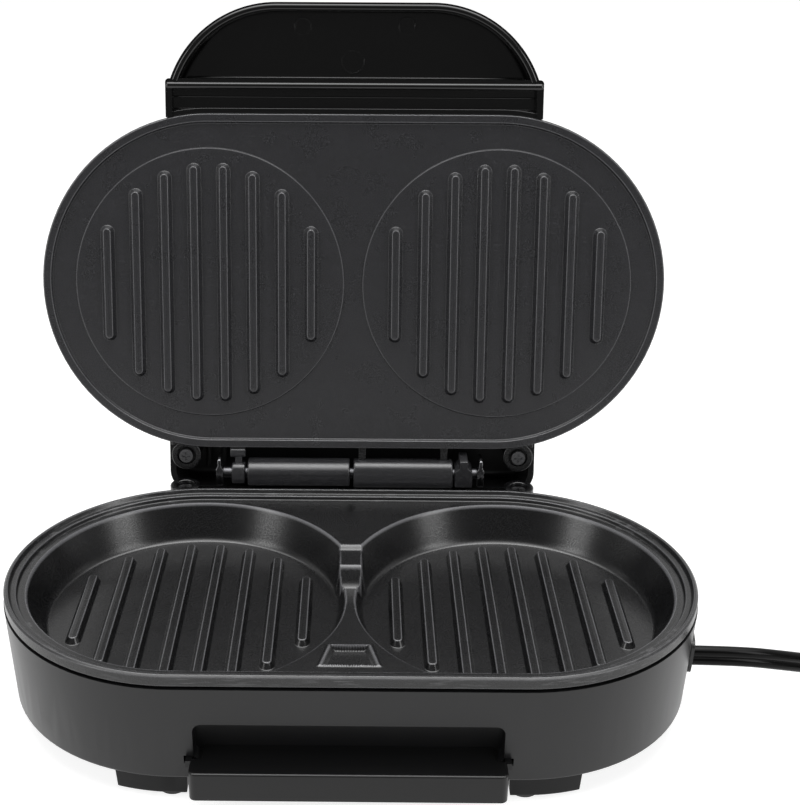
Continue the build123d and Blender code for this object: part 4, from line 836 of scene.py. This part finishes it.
def lowerHeight(x, y):
    # wells, bridge, front land and its pocket as one height below the rim
    w, b = wells, blends
    ax = np.sqrt(x * x + 0.02)  # |x|, rounded at the middle line
    near = -w["depth"] + (np.hypot(x - plates["wellX"], y) - w["floor"]) * w["slope"]
    far = -w["depth"] + (np.hypot(x + plates["wellX"], y) - w["floor"]) * w["slope"]
    bowl = smoothMax(near, -w["depth"], b["floor"])
    ridge = smoothMin(smoothMin(bowl, -plates["step"], b["brim"]), far, b["saddle"])
    slopeFoot = w["bridgeFront"] - (w["land"] - w["bridgeTop"]) / w["bridgeSlope"]
    halfBridge = w["bridgeHalf"] - w["bridgeTaper"] * np.clip(w["bridgeFront"] - y, 0, w["taperReach"])
    inFront, behind = slopeFoot - y, y - w["bridgeRear"] - w["blockRear"]
    block = -plates["step"] - w["blockBelow"] - w["blockSlope"] * np.clip(ax - halfBridge, 0, None)
    block -= w["blockSlope"] * np.clip(inFront, 0, None) + w["blockSlope"] * np.clip(behind, 0, None)
    body = smoothMax(ridge, block, b["block"])
    slopeUp = smoothMin((y - slopeFoot) * w["bridgeSlope"] - w["land"], -w["bridgeTop"], b["slopeTop"])
    cut = smoothMax(slopeUp, -w["land"], b["land"])
    cut = smoothMax(cut, -w["bridgeTop"] + (y - w["bridgeRear"]), b["bridgeRear"])
    landFront = w["mouth"] - (w["land"] - plates["step"]) / w["slope"]
    cut = smoothMax(cut, -w["land"] + (-landFront - y) * w["slope"], b["land"])
    cut = np.where(ax > plates["wellX"], 0, np.minimum(cut, 0))
    body = smoothMin(body, cut, b["cut"])
    along = (y + w["pocketNear"]) / (w["pocketNear"] - w["pocketFar"])
    halfWidth = w["pocketNearHalf"] + (w["pocketFarHalf"] - w["pocketNearHalf"]) * along
    sides = (halfWidth - ax) * w["pocketSides"]
    ends = smoothMin(y + w["pocketNear"], -w["pocketFar"] - y, b["pocketEnds"]) * w["pocketEnds"]
    reach = smoothMin(sides, ends, b["pocketCorners"])
    pocket = smoothMax(smoothMin(reach, w["pocketDepth"], b["pocketFloor"]), 0.0, b["pocketEdge"])
    bead = w["pocketBead"] * np.exp(-((reach + w["beadOut"]) / w["beadWidth"]) ** 2)
    return body - pocket + bead


def upperHeight(x, y):
    # flat field with a slightly raised disc
    rise, blend = discs["rise"], discs["blend"]
    edge = (discs["radius"] - np.hypot(x - plates["wellX"], y)) * discs["steepness"] + rise / 2
    return -plates["upperStep"] + smoothMax(smoothMin(edge, rise, blend), 0.0, blend)


def ribSheets(middle, level):
    # eight ribs of one field: a rounded trapezoid carried around each rib's outline
    profile = holdEdges(roundedLine([
        (ribs["foot"] + ribs["apron"], level - ribs["apronBelow"], 0),
        (ribs["foot"], level, 0.4),
        (ribs["top"], level + ribs["height"], 0.4),
        (ribs["seam"], level + ribs["height"] + ribs["crown"], 0),
    ], steps=6))
    sheets = []
    for i in range(ribs["pairs"]):
        shift = (i + 0.5) * ribs["pitch"]
        outline = stadium(math.sqrt((ribs["reach"] - ribs["foot"]) ** 2 - shift**2), 13, 6, lengthwise=False)
        for side in (-1, 1):
            points = carry(outline, profile, (middle + side * shift, 0, 0))
            sheets.append((withEdgeSheenAndWear(points, profileBend(profile)), True, False, False))
    return sheets


def bothHalves(points, level):
    # a plate's right half and its mirror image, and the ribs of its two fields
    sheets = [(points, True, False, True), (points * (-1, 1, 1, 1), True, False, False)]
    for middle in (-plates["wellX"], plates["wellX"]):
        sheets += ribSheets(middle, level)
    return sheets


def makePlates():
    radii = fieldRadii["lower"]
    field = fieldGrid(lowerHeight, denseStep=0.42, sideStep=2.5, innerRadii=radii, outerCount=46)
    lower, rim = bothHalves(field, -wells["depth"]), rimSheet(rims["lower"])
    # lower plate in the darker copy of the coat: painted shade
    buildPiece("lowerPlateField", lower, basePlace, materials["plate"], "base")
    buildPiece("lowerPlateRim", [rim], basePlace, materials["rim"], "base", ["lower_grill_plate"])
    radii = fieldRadii["upper"]
    field = fieldGrid(upperHeight, denseStep=1.5, sideStep=1.5, innerRadii=radii, outerCount=3)
    upper, rim = bothHalves(field, -plates["upperStep"] + discs["rise"]), rimSheet(rims["upper"])
    # upper plate in the lighter copy of the coat: painted light
    buildPiece("upperPlateField", upper, lidPlace, materials["upperPlate"], "lid")
    coat = materials["upperPlate"]
    buildPiece("upperPlateRim", [rim], lidPlace, coat, "lid", ["upper_grill_plate"])


makePlates()
print("plates ready")


def prism(outline, start, end, edge, order):
    # closed outline (a, b) drawn along the third axis, its two ends rounded by edge;
    # order says which of x, y, z the outline's a, its b and the run along it are
    loop = np.array(outline, float)
    turn = np.sum(loop[:, 0] * np.roll(loop[:, 1], -1) - np.roll(loop[:, 0], -1) * loop[:, 1])
    if turn < 0:
        loop = loop[::-1]
    tangent = np.roll(loop, -1, axis=0) - np.roll(loop, 1, axis=0)
    outward = np.column_stack([tangent[:, 1], -tangent[:, 0]]) / np.linalg.norm(tangent, axis=1)[:, None]
    t = np.linspace(0, np.pi / 2, 4)
    inset, rise = edge * (1 - np.sin(t)), edge * (1 - np.cos(t))
    insets = np.concatenate([inset, inset[::-1]])
    places = np.concatenate([start + rise, end - rise[::-1]])
    rings = loop[None] - outward[None] * insets[:, None, None]
    middle = np.broadcast_to(loop.mean(axis=0), (1, len(loop), 2))
    rings = np.concatenate([middle, rings, middle])
    places = np.concatenate([places[:1], places, places[-1:]])
    flat = np.concatenate([rings, np.broadcast_to(places[:, None, None], rings.shape[:2] + (1,))], axis=2)
    points = np.empty_like(flat)
    for i, axis in enumerate(order):
        points[..., "xyz".index(axis)] = flat[..., i]
    return points, False, True, order in ("yzx", "xyz", "zxy")


def block(low, high, radius, edge, order="yzx"):
    # a box from corner low to corner high, its four long edges rounded by radius
    a, b, along = ("xyz".index(axis) for axis in order)
    corners = [(low[a], low[b]), (high[a], low[b]), (high[a], high[b]), (low[a], high[b])]
    outline = roundedLine([(*c, radius) for c in corners], closed=True)
    return prism(outline, low[along], high[along], edge, order)


def lathe(profile, centre):
    # profile (radius, z) turned about an upright axis through centre
    columns = 48
    angles = np.linspace(0, 2 * np.pi, columns, endpoint=False)
    spokes = np.column_stack([np.cos(angles), np.sin(angles)])
    return carry((np.tile(centre, (columns, 1)), spokes), profile), True, False, False


hingeLook = {
    "leftBarrel": (-42.4, -0.9),
    "rightBarrel": (0.6, 40.9),
    "leftKnuckle": (-49.6, -43.4),
    "rightLug": (41.6, 49.4),
    "clips": ((-55.2, -52.2), (50.6, 53.6)),
    "radius": 5.75,
    "foot": -0.3,  # where the upright lugs start, and how far their necks pass the barrel
    "above": 2.2,
    "shoulderAt": 0.6,  # part of a lug's height
    "shoulderRise": 1.6,
    "lugNeck": 1.7,
    "clipNeck": 0.7,
    "web": 2.8,  # depth of the webs and strips behind their plate's face
    "webWidth": 3.0,
    "webTop": -1.7,
    "webStart": 63.0,  # the lower webs start here, the upper webs and all tongues further out
    "edge": 64.2,
    "lowerWebs": (-40.0, -6.0),  # a third one stands under the right lug
    "strip": 70.0,  # half length of the strip along a plate, then its outer side and its top
    "lowerStrip": (66.4, -1.9),
    "upperStrip": (66.2, -2.0),
    "plinthFoot": (70.2, -1.6),  # the left knuckle's supports: outer side, inner side, top
    "plinth": (70.4, 67.2, -0.6),
    "arm": (69.0, -0.8),
    "knuckleHalf": (4.4, 4.2),
    "earX": 67.5,
    "earY": 70.0,
    "earRadius": 6.0,
    "earThick": 3.2,
    "earTop": 1.3,
    "earBack": 0.3,  # the upper ears are set back by this
    "bore": 3.6,
    "boreDepth": 2.0,
}


def barrel(x0, x1, y, z, foot):
    # long barrel: round above, flat in front, with a small radius at its foot
    r = hingeLook["radius"]
    corners = [(y - r, z - foot, 0.9), (y + r, z - foot, 0.9), (y + r, z + r, 4.6), (y - r, z + r, 4.6)]
    return prism(roundedLine(corners, steps=9, closed=True), x0, x1, 0.7, "yzx")


def bottle(x0, x1, y0, y1, neck):
    # bottle-shaped lug seen from the front: wide body, shoulders and a narrow neck
    z0, z1 = hingeLook["foot"], hingeAt["lowerZ"] + hingeLook["radius"] + hingeLook["above"]
    middle, half = (x0 + x1) / 2, (x1 - x0) / 2
    shoulder = z0 + hingeLook["shoulderAt"] * (z1 - z0)
    neckFoot = shoulder + hingeLook["shoulderRise"]
    outline = roundedLine(
        [
            (middle - half, z0, 0.5), (middle + half, z0, 0.5), (middle + half, shoulder, 0.9),
            (middle + neck, neckFoot, 0.6), (middle + neck, z1, 0.5),
            (middle - neck, z1, 0.5), (middle - neck, neckFoot, 0.6), (middle - half, shoulder, 0.9),
        ],
        closed=True,
    )
    return prism(outline, y0, y1, 0.35, "xzy")


def ear(side, sign):
    # screw ear: a turned disc with a counterbore, and the tongue that joins it to the plate
    look = hingeLook
    x, y, r = side * look["earX"], sign * look["earY"], look["earRadius"]
    top = look["earTop"] if sign > 0 else -look["earTop"] - look["earBack"]
    profile = roundedLine([
        (0.01, -look["boreDepth"], 0), (look["bore"], -look["boreDepth"], 0.15), (look["bore"], 0, 0.4),
        (r, 0, 0.5), (r, -look["earThick"], 0),
    ])
    near, far = sorted((sign * look["edge"], sign * (look["earY"] - look["bore"] - 0.5)))
    tongue = block((x - r, near, -look["earThick"]), (x + r, far, min(top, 0) - 0.1), 0.5, 0.5)
    return [lathe(profile[::-1] + (0, top), (x, y)), tongue]


def makeLowerHinge():
    # the left barrel and the right lug stand on narrow webs at the plate's rear edge
    look, r = hingeLook, hingeLook["radius"]
    y, z = hingeAt["y"], hingeAt["lowerZ"]
    x0, x1 = look["rightLug"]
    barrels = [
        barrel(*look["leftBarrel"], y, z, z - look["foot"]),
        bottle(x0 + 0.1, x1 - 0.6, y - r, y + 4, look["lugNeck"]),
    ]
    back, edge = -look["web"], look["webStart"]
    webs = [
        block((start, edge, back), (start + look["webWidth"], y, look["webTop"]), 0.5, 0.4)
        for start in (*look["lowerWebs"], x0 + 2.0)
    ]
    webs.append(block((-look["strip"], edge, back), (look["strip"], *look["lowerStrip"]), 0.4, 0.4))
    webs += [*ear(-1, 1), *ear(1, 1)]
    # barrels in the lighter knuckle copy of the coat: painted highlight
    buildPiece("lowerHingeBarrel", barrels, basePlace, materials["knuckle"], "base")
    # webs and ears in the darker plate copy of the coat: painted shade
    buildPiece("lowerHingeWebs", webs, basePlace, materials["plate"], "base")


def makeUpperHinge():
    # the right barrel hangs on two webs, the left knuckle on a plinth with an arm
    look, r = hingeLook, hingeLook["radius"]
    y, z = -hingeAt["y"], hingeAt["upperZ"]
    back, edge = -look["web"], -look["edge"]
    stripSide, stripTop = look["upperStrip"]
    x0, x1 = look["rightBarrel"]
    barrels = [block((x0, y - r, z - r), (x1, y + r, z + r), 3.4, 0.7)]
    webs = [
        block((start, y, back), (start + look["webWidth"], edge, stripTop), 0.4, 0.4)
        for start in (x0 + 2.0, x1 - 5.0)
    ]
    x0, x1 = look["leftKnuckle"]
    outer, inner, top = look["plinth"]
    armSide, armTop = look["arm"]
    halfY, halfZ = look["knuckleHalf"]
    barrels += [
        block((x0, -outer, back), (x1, -inner, top), 0.5, 0.4),
        block((x0 + 2.0, y, back), (x1 - 1.4, -armSide, armTop), 0.5, 0.4),
        block((x0 + 0.6, y - halfY, z - halfZ), (x1, y + halfY, z + halfZ), 2.6, 0.8),
    ]
    footSide, footTop = look["plinthFoot"]
    webs.append(block((x0, -footSide, back), (x1, edge, footTop), 0.5, 0.4))
    webs.append(block((-look["strip"], -stripSide, back), (look["strip"], edge, stripTop), 0.4, 0.4))
    webs += [*ear(-1, -1), *ear(1, -1)]
    # barrels in the lighter knuckle copy of the coat: painted highlight
    buildPiece("upperHingeBarrel", barrels, lidPlace, materials["knuckle"], "lid")
    # webs and ears in the darker plate copy of the coat: painted shade
    buildPiece("upperHingeWebs", webs, lidPlace, materials["plate"], "lid")


def makeClips():
    y, r = hingeAt["y"], hingeLook["radius"]
    for side, (x0, x1) in zip(("left", "right"), hingeLook["clips"]):
        clip = [bottle(x0, x1, y - r + 0.5, y + 2.5, hingeLook["clipNeck"])]
        replaced = ["pin_cap_" + side]
        buildPiece("pinClip_" + side, clip, basePlace, materials["clip"], "base", replaced)


makeLowerHinge()
makeUpperHinge()
makeClips()
print("hinge ready")

polished = {
    # CAD nodes shown as merged copies with rounded edges: finish, body, slot, rounding in mm
    "base_shell": ("housing", "base", "housing", 0.55),
    "base_grip": ("ledge", "base", "housing", 0.5),
    "lid_shell": ("housing", "lid", "housing", 0.15),
    "lid_handle": ("handle", "lid", "dark_plastic", 0.9),
    "cord_gland": ("black", "base", "gland", 0.4),
    "plug": ("black", "base", "plug", 0.6),
    "cord_tie": ("black", "base", "cord", 0.25),
}
for corner in ("front_left", "front_right", "rear_left", "rear_right"):
    polished["foot_" + corner] = ("foot", "base", "dark_plastic", 1.1)


# merging distance in metres, the angle in degrees below which faces count as one, bevel steps
cleaning = {"weld": 2e-6, "flat": 0.4, "segments": 3}


def roundCopy(name, finish, body, slot, rounding):
    mesh = nodes[name].data.copy()
    shape = bmesh.new()
    shape.from_mesh(mesh)
    bmesh.ops.remove_doubles(shape, verts=shape.verts, dist=cleaning["weld"])
    flat = math.radians(cleaning["flat"])
    bmesh.ops.dissolve_limit(shape, angle_limit=flat, verts=shape.verts, edges=shape.edges)
    shape.to_mesh(mesh)
    shape.free()
    mesh.materials.clear()
    mesh.materials.append(materials[finish])
    mesh.shade_smooth()
    mesh.set_sharp_from_angle(angle=math.radians(sharpFrom["rounded"]))
    piece = newObject(name + "Rounded", mesh)
    piece.matrix_world = nodes[name].matrix_world
    bevel = piece.modifiers.new("roundedEdges", "BEVEL")
    bevel.width = rounding * mm
    bevel.segments = cleaning["segments"]
    bevel.limit_method = "ANGLE"
    bevel.angle_limit = math.radians(sharpFrom["rounded"])
    bevel.harden_normals = True
    bevel.miter_outer = "MITER_ARC"
    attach(piece, body)
    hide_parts(name)
    return piece


rounded = {name: roundCopy(name, *how) for name, how in polished.items()}
cord.data.materials.append(materials["cord"])
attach(cord, "base")
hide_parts("power_cord", "cord_coil")
print("rounded copies ready")

handleLook = {
    "halfWidth": 73.3,
    "rail": {"low": 75.8, "high": 78.5, "top": -0.5, "back": -4.0},
    "beads": ((80.3, -12.3, 66.0, 0.75), (73.0, -5.9, 71.6, 0.3), (68.4, -5.9, 71.6, 0.3)),
    "pinMarks": ((-20.3, 100.3, 3.2), (20.4, 100.5, 3.2), (-0.7, 86.7, 4.4)),
    # corners of the ring around a mark: out from its radius, up from the floor, rounding
    "pinRing": ((0.35, -0.02, 0), (0.2, 0.14, 0.08), (-0.2, 0.14, 0.08), (-0.3, 0.03, 0)),
    "pinFace": 0.03,
    "floor": -12.4,
    "visor": {
        "half": 30.0, "middle": 64.43, "radius": 44.07, "end": 20.4, "width": 3.1,
        "top": -0.9, "back": -5.0, "rounding": (0.9, 1.7),
    },
    "root": {
        "half": 56.8, "middle": 0.0, "radius": 68.7, "end": 76.0, "width": 2.1,
        "top": -2.6, "back": -5.5, "rounding": (0.3, 0.3),
    },
}


def archPath(arch):
    # centres and normals over an arch: a turn up to its top, the straight top and a turn down
    steps = 33
    arc = np.radians(np.linspace(arch["end"], 90, steps))
    side = np.column_stack([np.cos(arc), np.sin(arc)])
    across = np.concatenate([np.full(steps, arch["half"]), np.full(steps, -arch["half"])])
    centres = np.column_stack([across, np.full(2 * steps, arch["middle"])])
    return centres, np.concatenate([side, side[::-1] * (-1, 1)])


def makeHandleDetail():
    look = handleLook
    rail, half = look["rail"], look["halfWidth"]
    sheets = [block((-half, rail["low"], rail["back"]), (half, rail["high"], rail["top"]), 1.1, 1.1)]
    for arch in (look["visor"], look["root"]):
        outer, inner = arch["radius"], arch["radius"] - arch["width"]
        corners = [(inner, arch["back"], 0), (inner, arch["top"], arch["rounding"][0])]
        corners += [(outer, arch["top"], arch["rounding"][1]), (outer, arch["back"], 0)]
        sheets.append((carry(archPath(arch), roundedLine(corners, steps=7)), False, False, False))
    for y, z, reach, r in look["beads"]:
        sheets.append(block((-reach, y - r, z - r), (reach, y + r, z + r), r * 0.9, r * 0.9))
    floor = look["floor"]
    for x, y, r in look["pinMarks"]:
        corners = [(r + out, floor + up, rounding) for out, up, rounding in look["pinRing"]]
        profile = roundedLine(corners + [(0.01, floor + look["pinFace"], 0)], steps=3)
        sheets.append(lathe(profile, (x, y)))
    buildPiece("handleLipAndMarks", sheets, lidPlace, materials["handle"], "lid")


makeHandleDetail()
print("handle ready")

bpy.context.scene.view_settings.view_transform = "Standard"
